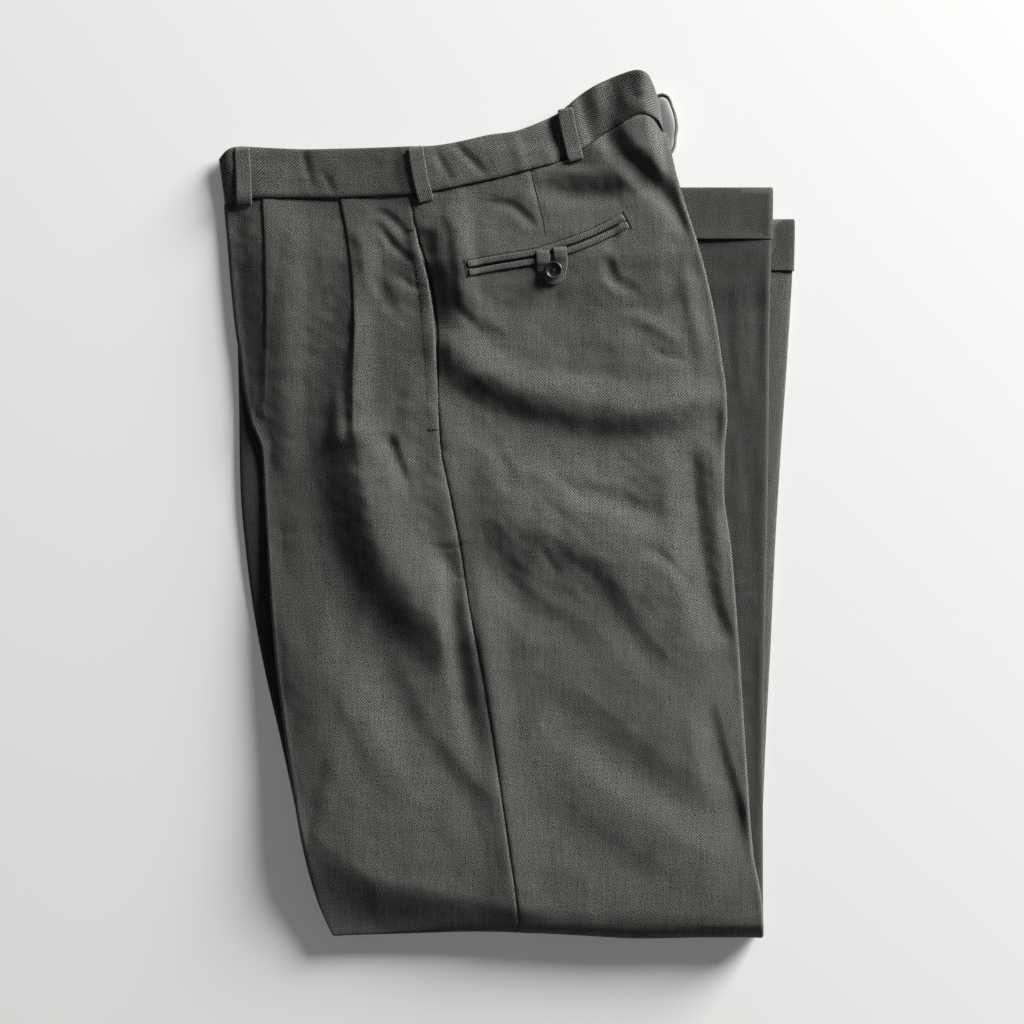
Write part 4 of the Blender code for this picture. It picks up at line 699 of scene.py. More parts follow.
def left_front_panel():
    cols = []

    def inner_depth(y):
        return 25.0 - 19.0 * smooth(40, 70, y) - 13.0 * smooth(-110, -160, y)

    def deeper(y):
        return 0.8 * smooth(40, 80, y)

    def shin_at(share):
        return lambda y: left_front_x(y) + NOSE + share * (seam_share(y) * (left_back_x(y) - left_front_x(y)) - NOSE - SEAM_EDGE)

    def shin_inner(y):
        full = 0.5 * (left_back_x(y) - left_front_x(y)) - SEAM / 2
        return left_front_x(y) + 25.0 + (full - 25.0) * smooth(142, 158, y)
    cols.append(Col(lambda y: front_edge(y) + inner_depth(y), shin_inner, lambda y: LAP + deeper(y)))
    cols.append(Col(lambda y: front_edge(y) + 0.5 * inner_depth(y), lambda y: 0.5 * (left_front_x(y) + NOSE) + 0.5 * shin_inner(y), lambda y: LAP + deeper(y)))
    cols.append(Col(lambda y: front_edge(y) + NOSE, lambda y: left_front_x(y) + NOSE, lambda y: LAP + deeper(y)))
    cols.append(Col(lambda y: front_edge(y), lambda y: left_front_x(y), lambda y: (LAP + deeper(y)) / 2))
    cols.append(Col(lambda y: front_edge(y) + NOSE, lambda y: left_front_x(y) + NOSE, zero))
    spec = [(lambda y: 0.7 * front_edge(y) + 0.3 * front_x1(y), lambda y: 0.8 * SHELL_PITCH * step_one(y))]
    spec += pleat_cols(front_x1, lambda y: 11.0 * smooth(100, 215, y), step_one)
    for share, low in ((0.30, 0.0), (0.60, 0.12), (0.84, 0.6)):
        spec.append((lambda y, s=share: front_x1(y) + 11.0 + s * (pleat(y) - front_x1(y) - 11.0 - 5.0),
                     lambda y, low=low: low * 2 * SHELL_PITCH * step_two(y)))
    spec += pleat_cols(pleat, lambda y: 15.0 * smooth(96, 205, y), step_two)
    for share in (0.45, 0.72, 1.0):
        spec.append((lambda y, s=share: pleat(y) + s * (side_seam(y) - SEAM_EDGE - pleat(y)) + (1 - s) * 8.0 * smooth(96, 205, y), zero))
    for i, (thigh, dip) in enumerate(spec):
        share = (i + 1) / len(spec)
        cols.append(Col(eased(thigh, lambda y, s=share: front_edge(y) + NOSE + s * (side_seam(y) - SEAM_EDGE - front_edge(y) - NOSE)),
                        shin_at(share), dip))
    cols.append(Col(lambda y: side_seam(y) - SEAM / 2 + 0.05,
                    lambda y: left_front_x(y) + seam_share(y) * (left_back_x(y) - left_front_x(y)) - SEAM / 2 + 0.05, lambda y: SEAM_DEEP + zero(y)))
    counts = [4, 5, 3, 3, 5, 7, 4, 3, 5, 4, 8, 7, 8, 7, 5, 5, 3, 6, 4, 8, 9, 8, 8, 4]
    return Panel(cols, counts, left_top, 1, FOLD_OUT, left_shin_out, left_shin_in, HEM_LEFT - 0.3)


def left_shin_out(x, y):
    return left_out(y) + 0.0 * x


def left_shin_in(x, y):
    edge = np.minimum(x - left_front_x(y), left_back_x(y) - x)
    quiet = smooth(1, 12, edge) * smooth(175, 150, y)
    return left_in(y) + 0.35 * quiet * (1 + np.clip(FINE(x, y), -1, 1)) * 0.5


def right_shin_in(x, y):
    return right_in(y) + 1.5 * smooth(150, 194, x) * smooth(-318, -270, y)


def right_shin_out(x, y):
    edge = np.minimum(x - right_front_x(y), right_back_x(y) - x)
    quiet = smooth(0.5, 7, edge) * smooth(196, 180, y) * smooth(-318, -280, y)
    tilt = 1.5 * smooth(150, 194, x) * smooth(-318, -270, y)
    return right_out(y) + tilt + quiet * (crease_field(SHIN_CREASES, x, y) * 0.6 + 0.16 * np.clip(FINE(x, y), -1.5, 1.5))


def left_back_panel():
    cols = []

    def gape(y):
        return 2.4 * smooth(214, 184, y) * smooth(72, 130, y)

    def start(y):
        return side_seam(y) + SEAM_EDGE + gape(y)

    def shin_start(y):
        return left_front_x(y) + seam_share(y) * (left_back_x(y) - left_front_x(y)) + SEAM_EDGE
    cols.append(Col(lambda y: start(y) - SEAM_EDGE + SEAM / 2 - 0.05, lambda y: shin_start(y) - SEAM_EDGE + SEAM / 2 - 0.05,
                    lambda y: SEAM_DEEP + zero(y)))
    for share in np.linspace(0, 0.975, 12):
        cols.append(Col(lambda y, s=share: start(y) + s * (back_edge(y) - NOSE - start(y)),
                        lambda y, s=share: shin_start(y) + s * (left_back_x(y) - NOSE - shin_start(y)), zero))
    cols.append(Col(lambda y: back_edge(y) - NOSE, lambda y: left_back_x(y) - NOSE, zero))
    cols.append(Col(lambda y: back_edge(y), lambda y: left_back_x(y), lambda y: LAP / 2 + zero(y)))
    cols.append(Col(lambda y: back_edge(y) - NOSE, lambda y: left_back_x(y) - NOSE, lambda y: LAP + zero(y)))

    def inner(y):
        return back_edge(y) - 25.0 - 15.0 * smooth(-200, -310, y) + 13.0 * smooth(225, 250, y)

    def shin_inner(y):
        full = 0.5 * (left_back_x(y) - left_front_x(y)) - SEAM / 2
        return left_back_x(y) - 40.0 - (full - 40.0) * smooth(142, 158, y)
    cols.append(Col(inner, shin_inner, lambda y: LAP + zero(y)))
    counts = [4] + [10] * 11 + [4, 3, 3, 9]
    return Panel(cols, counts, left_top, 1, FOLD_OUT, left_shin_out, left_shin_in, HEM_LEFT - 0.3)


def right_under(y):
    return 24.0 + zero(y)


def right_front_panel():
    def shin_inner(y):
        full = 0.5 * (right_back_x(y) - right_front_x(y)) - SEAM / 2
        return right_front_x(y) + 25.0 + (full - 25.0) * smooth(142, 158, y)
    lap = lambda y: LAP + zero(y)
    cols = [Col(lambda y: under_front(y) + right_under(y), shin_inner, lap),
            Col(lambda y: under_front(y) + 0.5 * right_under(y), lambda y: 0.5 * (right_front_x(y) + NOSE) + 0.5 * shin_inner(y), lap),
            Col(lambda y: under_front(y) + NOSE, lambda y: right_front_x(y) + NOSE, lap),
            Col(lambda y: under_front(y), lambda y: right_front_x(y), lambda y: LAP / 2 + zero(y)),
            Col(lambda y: under_front(y) + NOSE, lambda y: right_front_x(y) + NOSE, zero)]
    for share in (0.08, 0.2, 0.36, 0.52, 0.68, 0.84, 1.0):
        cols.append(Col(lambda y, s=share: under_front(y) + s * (side_seam(y) - SEAM / 2 - under_front(y)),
                        lambda y, s=share: right_front_x(y) + s * (seam_share(y) * (right_back_x(y) - right_front_x(y)) - SEAM / 2), zero))
    counts = [4, 4, 3, 3, 4, 6, 7, 7, 7, 7, 7]
    return Panel(cols, counts, right_top, -1, FOLD_IN, right_shin_out, right_shin_in, HEM_RIGHT - 0.3)


def right_back_panel():
    def edge(y):
        return back_edge(y) - 1.8 * smooth(-300, -260, y)

    def shin_start(y):
        return right_front_x(y) + seam_share(y) * (right_back_x(y) - right_front_x(y)) + SEAM / 2

    def shin_inner(y):
        full = 0.5 * (right_back_x(y) - right_front_x(y)) - SEAM / 2
        return right_back_x(y) - 25.0 - (full - 25.0) * smooth(142, 158, y)
    cols = []
    for share in (0.0, 0.14, 0.28, 0.42, 0.56, 0.68, 0.78, 0.87, 0.95):
        cols.append(Col(lambda y, s=share: side_seam(y) + SEAM / 2 + s * (edge(y) - NOSE - side_seam(y)),
                        lambda y, s=share: shin_start(y) + s * (right_back_x(y) - NOSE - shin_start(y)), zero))
    cols.append(Col(lambda y: edge(y) - NOSE, lambda y: right_back_x(y) - NOSE, zero))
    cols.append(Col(edge, right_back_x, lambda y: LAP / 2 + zero(y)))
    cols.append(Col(lambda y: edge(y) - NOSE, lambda y: right_back_x(y) - NOSE, lambda y: LAP + zero(y)))
    cols.append(Col(lambda y: edge(y) - 25.0 + 13.0 * smooth(225, 250, y), shin_inner, lambda y: LAP + zero(y)))
    counts = [7, 7, 7, 8, 8, 8, 8, 8, 4, 3, 3, 7]
    return Panel(cols, counts, right_top, -1, FOLD_IN, right_shin_out, right_shin_in, HEM_RIGHT - 0.3)


def make_panel(name, panel, step, shin_step, ref, mat, across=0):
    ys = np.linspace(231.0, -306.0, int(537.0 / step) + 1)
    low = np.arange(-301.0, 140.0, shin_step)
    shin = np.concatenate([low, np.linspace(141.0, panel.hem, 18)])
    rows = rows_of(ys, np.linspace(0, math.pi, 13), shin)
    p = panel_points(panel, rows)
    ob = shell(name, p, 1 if panel.side > 0 else -1, mat, ref=ref, uv=weave_map(p, ref, across))
    return ob, p


# ---------------------------------------------------------------- the layers between, as one rounded solid
def hidden_solid(mat):
    shares = np.linspace(0, 1, 25)
    last = len(shares) - 1
    rows = []
    ys = np.linspace(213.0, -300.0, 74)
    turns = np.linspace(0, math.pi, 9)
    shins = np.array([-292.0, -200, -110, -20, 70, 136])

    def ends(y):
        leg = np.maximum(front_edge(y) + 25.0, under_front(y) + right_under(y) + 1.0)
        return (leg + 22.0 * smooth(60, 88, y) + 1.2, back_edge(y) - 28.6 - 15.0 * smooth(-200, -310, y))

    def shin_ends(y):
        return (np.maximum(left_front_x(y), right_front_x(y)) + 26.2, np.minimum(left_back_x(y) - 41.2, right_back_x(y) - 26.2))

    def ring(place_at):
        top = [place_at(s, 1.2 * (k == 0) - 1.2 * (k == last), 1.0) for k, s in enumerate(shares)]
        right = [place_at(1.0, 0.0, 0.8), place_at(1.0, -2.0, 0.5), place_at(1.0, 0.0, 0.2)]
        under = [place_at(s, 1.2 * (s == 0) - 1.2 * (s == 1), 0.0) for s in shares[::-1]]
        left = [place_at(0.0, 0.0, 0.2), place_at(0.0, 2.0, 0.5), place_at(0.0, 0.0, 0.8)]
        return np.stack([np.array(q) for q in top + right + under + left], axis=1)

    def on_thigh(share, inset, up):
        slope = np.clip((ys - 60.0) / 171.0, 0, 1)
        x, y = zero(ys), ys
        for _ in range(5):
            y = ys + slope * (waist_y(x) - 231.0)
            a, b = ends(y)
            x = a + share * (b - a) + inset
        low = right_top(x, y) + 1.5 + 2.2 * (on_shins(x, y) * (1 - on_shins(x, y))) * 4 * 0.6
        high = np.minimum(left_top(x, y, 0) - 5.3 + 4.0 * smooth(-236, -300, y), left_top(x, y) - 1.7)
        high = high - (mouth_depth(y) + 0.4) * (np.abs(x - side_seam(y)) < 13)
        z = low + up * (np.maximum(high, low + 0.5) - low)
        return np.stack([x, y, settle(x, y, z)], axis=-1)

    def on_knee(share, inset, up):
        h = FOLD_IN + 1.0 + up * (FOLD_OUT - FOLD_IN - 2.0)
        x = zero(turns)
        for _ in range(5):
            y = knee_y(x) + FOLD_OUT + 0.5 - h * np.sin(turns)
            a, b = ends(y)
            c, d = shin_ends(y)
            thigh = turns <= math.pi / 2
            x = np.where(thigh, a + share * (b - a), c + share * (d - c)) + inset
        z = CORE + h * np.cos(turns)
        return np.stack([x, y, settle(x, y, z)], axis=-1)

    def on_shin(share, inset, up):
        a, b = shin_ends(shins)
        x = a + share * (b - a) + inset
        top, bottom = right_out(shins) - 1.2, left_out(shins) + 1.0
        return np.stack([x, shins, top + up * (bottom - top)], axis=-1)
    p = np.concatenate([ring(on_thigh), ring(on_knee), ring(on_shin)], axis=0)
    r, c = p.shape[:2]
    i, j = np.meshgrid(np.arange(r - 1), np.arange(c), indexing="ij")
    k = (j + 1) % c
    quads = np.stack([i * c + j, (i + 1) * c + j, (i + 1) * c + k, i * c + k], axis=-1).reshape(-1, 4)
    # the two ends are closed between the upper and the lower run of points
    n = len(shares)

    def cap(row, flip):
        out = []
        base = row * c
        up = [base + q for q in range(n)]
        down = [base + n + 3 + (n - 1 - q) for q in range(n)]
        for q in range(n - 1):
            f = (up[q], up[q + 1], down[q + 1], down[q])
            out.append(f[::-1] if flip else f)
        r1, r2, r3 = base + n, base + n + 1, base + n + 2
        l1, l2, l3 = base + 2 * n + 3, base + 2 * n + 4, base + 2 * n + 5
        for f in ((up[-1], r1, r3, down[-1]), (down[0], l1, l3, up[0])):
            out.append(f[::-1] if flip else f)
        tri = [(r1, r2, r3), (l1, l2, l3)]
        return out, [t[::-1] if flip else t for t in tri]
    q0, t0 = cap(0, False)
    q1, t1 = cap(r - 1, True)
    quads = np.concatenate([quads, np.array(q0 + q1)])
    flat = p.reshape(-1, 3)
    uvs = flat[:, :2] * 1.0
    return place("layers_between", fill_mesh("layers_between", flat, quads, uvs, np.array(t0 + t1)), mat)


# ---------------------------------------------------------------- helpers for the small pieces
def spline(points, n):
    """n points evenly along a smooth line through the given ones; any number of values to a point, the first two lead."""
    p = np.array(points, float)
    q = np.vstack([2 * p[0] - p[1], p, 2 * p[-1] - p[-2]])
    t = np.concatenate([[0], np.cumsum(np.sqrt(np.maximum(np.hypot(*(np.diff(q[:, :2], axis=0).T)), 1e-6)))])
    out = []
    for i in range(1, len(q) - 2):
        d0, d1, d2 = t[i] - t[i - 1], t[i + 1] - t[i], t[i + 2] - t[i + 1]
        m1 = d1 * ((q[i] - q[i - 1]) / d0 - (q[i + 1] - q[i - 1]) / (d0 + d1) + (q[i + 1] - q[i]) / d1)
        m2 = d1 * ((q[i + 1] - q[i]) / d1 - (q[i + 2] - q[i]) / (d1 + d2) + (q[i + 2] - q[i + 1]) / d2)
        for u in np.arange(12) / 12:
            out.append((2 * u ** 3 - 3 * u ** 2 + 1) * q[i] + (u ** 3 - 2 * u ** 2 + u) * m1
                       + (-2 * u ** 3 + 3 * u ** 2) * q[i + 1] + (u ** 3 - u ** 2) * m2)
    out.append(q[-2])
    out = np.array(out)
    run = np.concatenate([[0], np.cumsum(np.hypot(*(np.diff(out[:, :2], axis=0).T)))])
    s = np.linspace(0, run[-1], n)
    return np.stack([np.interp(s, run, out[:, k]) for k in range(out.shape[1])], axis=1)


def directions(path):
    """Unit run and left-hand side of a line in plan."""
    d = np.gradient(path[:, :2], axis=0)
    d /= np.maximum(np.hypot(d[:, 0], d[:, 1])[:, None], 1e-9)
    return d, np.stack([-d[:, 1], d[:, 0]], axis=1)


def loft(name, rings, mat, uv=None, offset=(0, 0)):
    """A closed solid through rings of points, its two ends closed by fans."""
    n, m = rings.shape[:2]
    flat = rings.reshape(-1, 3)
    ends = np.stack([rings[0].mean(0), rings[-1].mean(0)])
    verts = np.concatenate([flat, ends])
    i, j = np.meshgrid(np.arange(n - 1), np.arange(m), indexing="ij")
    k = (j + 1) % m
    quads = np.stack([i * m + j, i * m + k, (i + 1) * m + k, (i + 1) * m + j], axis=-1).reshape(-1, 4)
    r = np.arange(m)
    tris = np.concatenate([np.stack([np.full(m, n * m), (r + 1) % m, r], axis=1),
                           np.stack([np.full(m, n * m + 1), (n - 1) * m + r, (n - 1) * m + (r + 1) % m], axis=1)])
    a, b, c, d = (verts[quads[:, q]] for q in range(4))
    vol = (np.einsum("ij,ij->i", a, np.cross(b, c)) + np.einsum("ij,ij->i", a, np.cross(c, d))).sum()
    a, b, c = (verts[tris[:, q]] for q in range(3))
    vol += np.einsum("ij,ij->i", a, np.cross(b, c)).sum()
    if vol < 0:
        quads, tris = quads[:, ::-1], tris[:, ::-1]
    if uv is None:
        around = np.concatenate([np.zeros((n, 1)), np.cumsum(np.linalg.norm(np.diff(rings, axis=1), axis=2), axis=1)], axis=1)
        along = np.concatenate([[0], np.cumsum(np.linalg.norm(np.diff(rings.mean(1), axis=0), axis=1))])
        uv = np.stack([around, np.broadcast_to(along[:, None], around.shape)], axis=-1)
    uv = uv.reshape(-1, 2) + np.array(offset)
    uv = np.concatenate([uv, uv[:1], uv[-1:]])
    return place(name, fill_mesh(name, verts, quads, uv, tris), mat)


def tree(*objects):
    out = []
    for ob in objects:
        m = ob.data
        co = np.zeros(len(m.vertices) * 3, np.float32)
        m.vertices.foreach_get("co", co)
        m.calc_loop_triangles()
        tr = np.zeros(len(m.loop_triangles) * 3, np.int32)
        m.loop_triangles.foreach_get("vertices", tr)
        out.append(BVHTree.FromPolygons([tuple(v) for v in co.reshape(-1, 3).tolist()], tr.reshape(-1, 3).tolist()))
    return out


def height(trees, x, y, down=True):
    best = None
    for t in trees:
        hit = t.ray_cast(Vector((x * MM, y * MM, 1.0 if down else -1.0)), Vector((0, 0, -1.0 if down else 1.0)))
        if hit[0] is not None:
            z = hit[0].z / MM
            best = z if best is None else (max(best, z) if down else min(best, z))
    return best


def soft(values, times=2):
    v = np.array(values, float)
    for _ in range(times):
        p = np.concatenate([v[:1], v, v[-1:]])
        v = 0.25 * p[:-2] + 0.5 * p[1:-1] + 0.25 * p[2:]
    return v


# ---------------------------------------------------------------- waistband
BAND_CREASES = [
    ("b_a", -1.2, 3.5, 5, 0.2, [(-153, 272, 0.1), (-151, 258, 1), (-148, 246, 0.8), (-145, 234, 0.1)]),
    ("b_b", -0.9, 3, 4, 0.3, [(-140, 252, 0), (-135, 244, 1), (-130, 233, 0.5)]),
    ("b_c", -1.3, 4.5, 5, 0.2, [(-44, 274, 0.1), (-33, 264, 1), (-21, 252, 0.9), (-12, 244, 0)]),
    ("b_d", -1.1, 4, 5, 0.2, [(-55, 268, 0.2), (-49, 256, 1), (-42, 244, 0.4)]),
    ("b_e", 1.0, 7, 7, 0.0, [(2, 280, 0.4), (7, 268, 1), (11, 252, 0.6)]),
    ("b_f", -2.3, 6, 10, 0.2, [(30, 294, 0.6), (35, 278, 1), (42, 258, 0.9)]),
    ("b_g", -2.8, 13, 7, 0.2, [(55, 310, 0.7), (58, 292, 1), (64, 272, 1), (72, 262, 0.4)]),
    ("b_h", -0.5, 6, 7, 0.2, [(-86, 269, 0.4), (-84, 252, 1), (-82, 232, 0.6)]),
    ("b_i", 0.9, 9, 9, 0.0, [(80, 318, 0.2), (88, 304, 1), (96, 292, 0.5)]),
    ("b_j", -0.8, 5, 5, 0.2, [(92, 300, 0), (100, 304, 1), (110, 302, 0)]),
]
BAND_HALF = 1.1


def band_level(side, x, y):
    """Middle of the waistband's two layers."""
    if side > 0:
        z = left_top(x, y, 0) + 0.3 + 0.7 * crease_field(CREASES, x, y) + crease_field(BAND_CREASES, x, y)
        return z + 0.2 * BROAD(x, y) + 0.1 * FINE(x, y)
    return right_level(x, y) + 2.0 + 0.15 * (1 + np.clip(BROAD(x, y), -1, 1))


def waistband(name, side, mat):
    cols = spline([(b.seam_x, b.seam_y, b.top_x, b.top_y) for b in BAND], 150)
    n = len(cols)
    share = np.linspace(0, 1, n)
    if side > 0:
        # the front end wraps round and down, the back end stops at the centre seam
        wrap = 5.2 * smooth(-203, -217.5, cols[:, 0]) ** 1.3
        end = 1.5 * smooth(0.975, 1.0, share) ** 1.5
    else:
        wrap = -0.7 * smooth(0.03, 0.0, share)
        end = -0.7 * smooth(0.97, 1.0, share)
    across = np.concatenate([[0.0, 0.012, 0.03], np.linspace(0.07, 0.93, 13), [0.975]])
    outer, inner = [], []
    lower = -0.6 if side > 0 else 0.9
    for s in across:
        x = cols[:, 0] + s * (cols[:, 2] - cols[:, 0])
        y = cols[:, 1] + lower * (1 - s) + s * (cols[:, 3] - cols[:, 1])
        if side < 0:
            x = x + s * (2.0 * smooth(0.12, 0.0, share) - 2.0 * smooth(0.84, 0.94, share))
            y = y - 1.6 * s
        else:
            y = y + 1.2 * (1 - s) * smooth(0.93, 1.0, share)
        z = band_level(side, x, y) - wrap - end
        if side > 0:
            z = z + 5.0 * (s - 0.6) * smooth(30, 62, x) * smooth(116, 98, x) - 0.5 * (s - 0.6) * smooth(-200, -180, x) * smooth(30, 0, x)
            z = z - 2.1 * np.exp(-((x - 78) / 11.0) ** 2) + 2.0 * smooth(90, 104, x)
        puff = BAND_HALF * (0.55 + 0.45 * smooth(0.0, 0.06, s)) * (0.72 + 0.28 * smooth(1.0, 0.93, s))
        tuck = 0.35 * (1 - smooth(0.0, 0.05, s))
        outer.append(np.stack([x, y, z + (puff - tuck) * (1 if side > 0 else -1)], axis=1))
        inner.append(np.stack([x, y, z - puff * (1 if side > 0 else -1)], axis=1))
    outer, inner = np.array(outer), np.array(inner)
    tip = (outer[-1] + inner[-1]) / 2
    run = cols[:, 2:4] - cols[:, 0:2]
    run = run / np.hypot(run[:, 0], run[:, 1])[:, None]
    caps = []
    for a in (60, 30, 0, -30, -60):
        r = math.radians(a)
        c = tip.copy()
        half = (outer[-1][:, 2] - inner[-1][:, 2]) / 2
        c[:, :2] += run * (np.abs(half) * math.cos(r))[:, None]
        c[:, 2] += half * math.sin(r)
        caps.append(c)
    rings = np.concatenate([outer, np.array(caps), inner[::-1]], axis=0).transpose(1, 0, 2)
    along = np.concatenate([[0], np.cumsum(np.hypot(*(np.diff(cols[:, :2], axis=0).T)))])
    around = np.concatenate([[0], np.cumsum(np.linalg.norm(np.diff(rings[n // 2], axis=0), axis=1))])
    uv = np.stack([np.broadcast_to(along[:, None], rings.shape[:2]), np.broadcast_to(around[None], rings.shape[:2])], axis=-1)
    ob = loft(name, rings, mat, uv=uv, offset=(11, 400 if side > 0 else 900))
    return ob


# ---------------------------------------------------------------- belt loops
def loop_rings(path, zs, lift_dir, half_width, thick, edge_bead=0.25):
    """A flat strip, its folded edges a little thicker, its ends turned under and rounded."""
    d, side = directions(path)
    n = len(path)
    rings = []
    run = np.concatenate([[0], np.cumsum(np.hypot(*(np.diff(path, axis=0).T)))])
    left = run[-1]
    for i in range(n):
        to_end = min(run[i], left - run[i])
        w = half_width * math.sqrt(max(0.0, 1 - max(0.0, (1.6 - to_end) / 1.6) ** 2 * 0.32))
        t = thick * (1 + 0.35 * float(smooth(5.0, 3.2, to_end))) * math.sqrt(max(0.05, 1 - max(0.0, (0.6 - to_end) / 0.6) ** 2))
        ring = []
        for u in (-1.0, -0.93, -0.8, -0.62, -0.3, 0.0, 0.3, 0.62, 0.8, 0.93, 1.0):
            bead = edge_bead * math.exp(-((abs(u) - 0.8) / 0.16) ** 2)
            h = t / 2 * math.sqrt(max(0.0, 1 - max(0.0, (abs(u) - 0.86) / 0.14) ** 2)) + bead * (abs(u) < 0.99)
            ring.append((u, h))
        pts = [(path[i, 0] + side[i, 0] * w * u, path[i, 1] + side[i, 1] * w * u, zs[i] + lift_dir * h) for u, h in ring]
        pts += [(path[i, 0] + side[i, 0] * w * u, path[i, 1] + side[i, 1] * w * u, zs[i] - lift_dir * t / 2 * (0.9 if abs(u) < 0.9 else 0.3))
                for u, h in ring[::-1][1:-1]]
        rings.append(pts)
    return np.array(rings)


def belt_loop(lp, trees, mat):
    foot, head = np.array(lp.foot, float), np.array(lp.head, float)
    if lp.side > 0:
        bow = {"belt_loop_left_front": 0.3, "belt_loop_left_side": -0.9, "belt_loop_left_back": -0.7}[lp.name]
        mid = (foot + head) / 2 + np.array([bow, 0])
        path = spline([foot, mid, head], 41)
    else:
        path = np.linspace(foot, head, 41)
    d, side = directions(path)
    base = []
    down = lp.side > 0
    for p, q in zip(path, side):
        hs = [height(trees, *(p + q * w * LOOP_WIDTH), down) for w in (-0.5, -0.3, 0.0, 0.3, 0.5)]
        hs = [h for h in hs if h is not None]
        base.append(max(hs) if hs and down else min(hs) if hs else None)
    known = [i for i, b in enumerate(base) if b is not None]
    base = np.interp(np.arange(len(base)), known, [base[i] for i in known])
    if down:
        wide = np.array([max(base[max(0, i - 2):i + 3]) for i in range(len(base))])
        s = np.linspace(0, 1, len(path))
        arch = 0.15 * np.sin(math.pi * s) ** 0.55
        tack = 0.5 * np.exp(-((s * 45 - 4.4) / 1.2) ** 2) + 0.4 * np.exp(-(((1 - s) * 45 - 3.6) / 1.2) ** 2)
        z = np.maximum(soft(wide, 4) + 0.5 + arch - 0.35 * tack, wide + 0.44)
        z = z - 1.0 * smooth(0.975, 1.0, s) - 0.5 * smooth(0.03, 0.0, s)
        z = soft(z, 2)
        rings = loop_rings(path, z, 1, 1.06 * LOOP_WIDTH / 2, 0.7, 0.02)
    else:
        narrow = np.array([min(base[max(0, i - 2):i + 3]) for i in range(len(base))])
        z = np.minimum(soft(narrow, 3) - 0.8, narrow - 0.75)
        z = np.maximum(z, 0.52)
        rings = loop_rings(path, z, -1, LOOP_WIDTH / 2, 0.9, 0.1)
    return loft(lp.name + "_cloth", rings, mat, offset=(60, 40 + 70 * LOOPS.index(lp)))


def centre_loop(mat):
    """The centre back loop stands out from the edge on its side, its width upright."""
    path = spline([(110.3, 305.4), (115.4, 308.2), (120.4, 306.4), (123.2, 300.4), (125.8, 292.5), (127.1, 284.3), (126.2, 277.5), (125.8, 272.0),
                   (124.4, 267.0), (121.0, 263.6), (115.0, 261.4), (108.5, 259.8)], 67)
    d, side = directions(path)
    rings = []
    n = len(path)
    for i in range(n):
        s = i / (n - 1)
        t = 1.0 + 0.35 * float(smooth(0.3, 0.12, s)) - 0.2 * float(smooth(0.5, 0.62, s) * smooth(0.8, 0.68, s)) + 0.4 * float(smooth(0.88, 1.0, s))
        lean = 1.2 * math.sin(math.pi * s)
        prof = []
        for u, z in ((-1, 1.4), (-1, 4), (-1, 7), (-1, 9.6), (-0.8, 10.4), (0, 10.8), (0.8, 10.4), (1, 9.6), (1, 7), (1, 4), (1, 1.4), (0.7, 0.9), (-0.7, 0.9)):
            prof.append((u * t * (0.85 + 0.15 * math.sin(z)), z))
        rings.append([(path[i, 0] + side[i, 0] * u + lean * (z - 5.8) / 10.0 * -side[i, 0],
                       path[i, 1] + side[i, 1] * u + lean * (z - 5.8) / 10.0 * -side[i, 1], z + 1.6 * float(smooth(0.84, 1.0, s))) for u, z in prof])
    return loft("belt_loop_centre_back_cloth", np.array(rings), mat, offset=(90, 30))


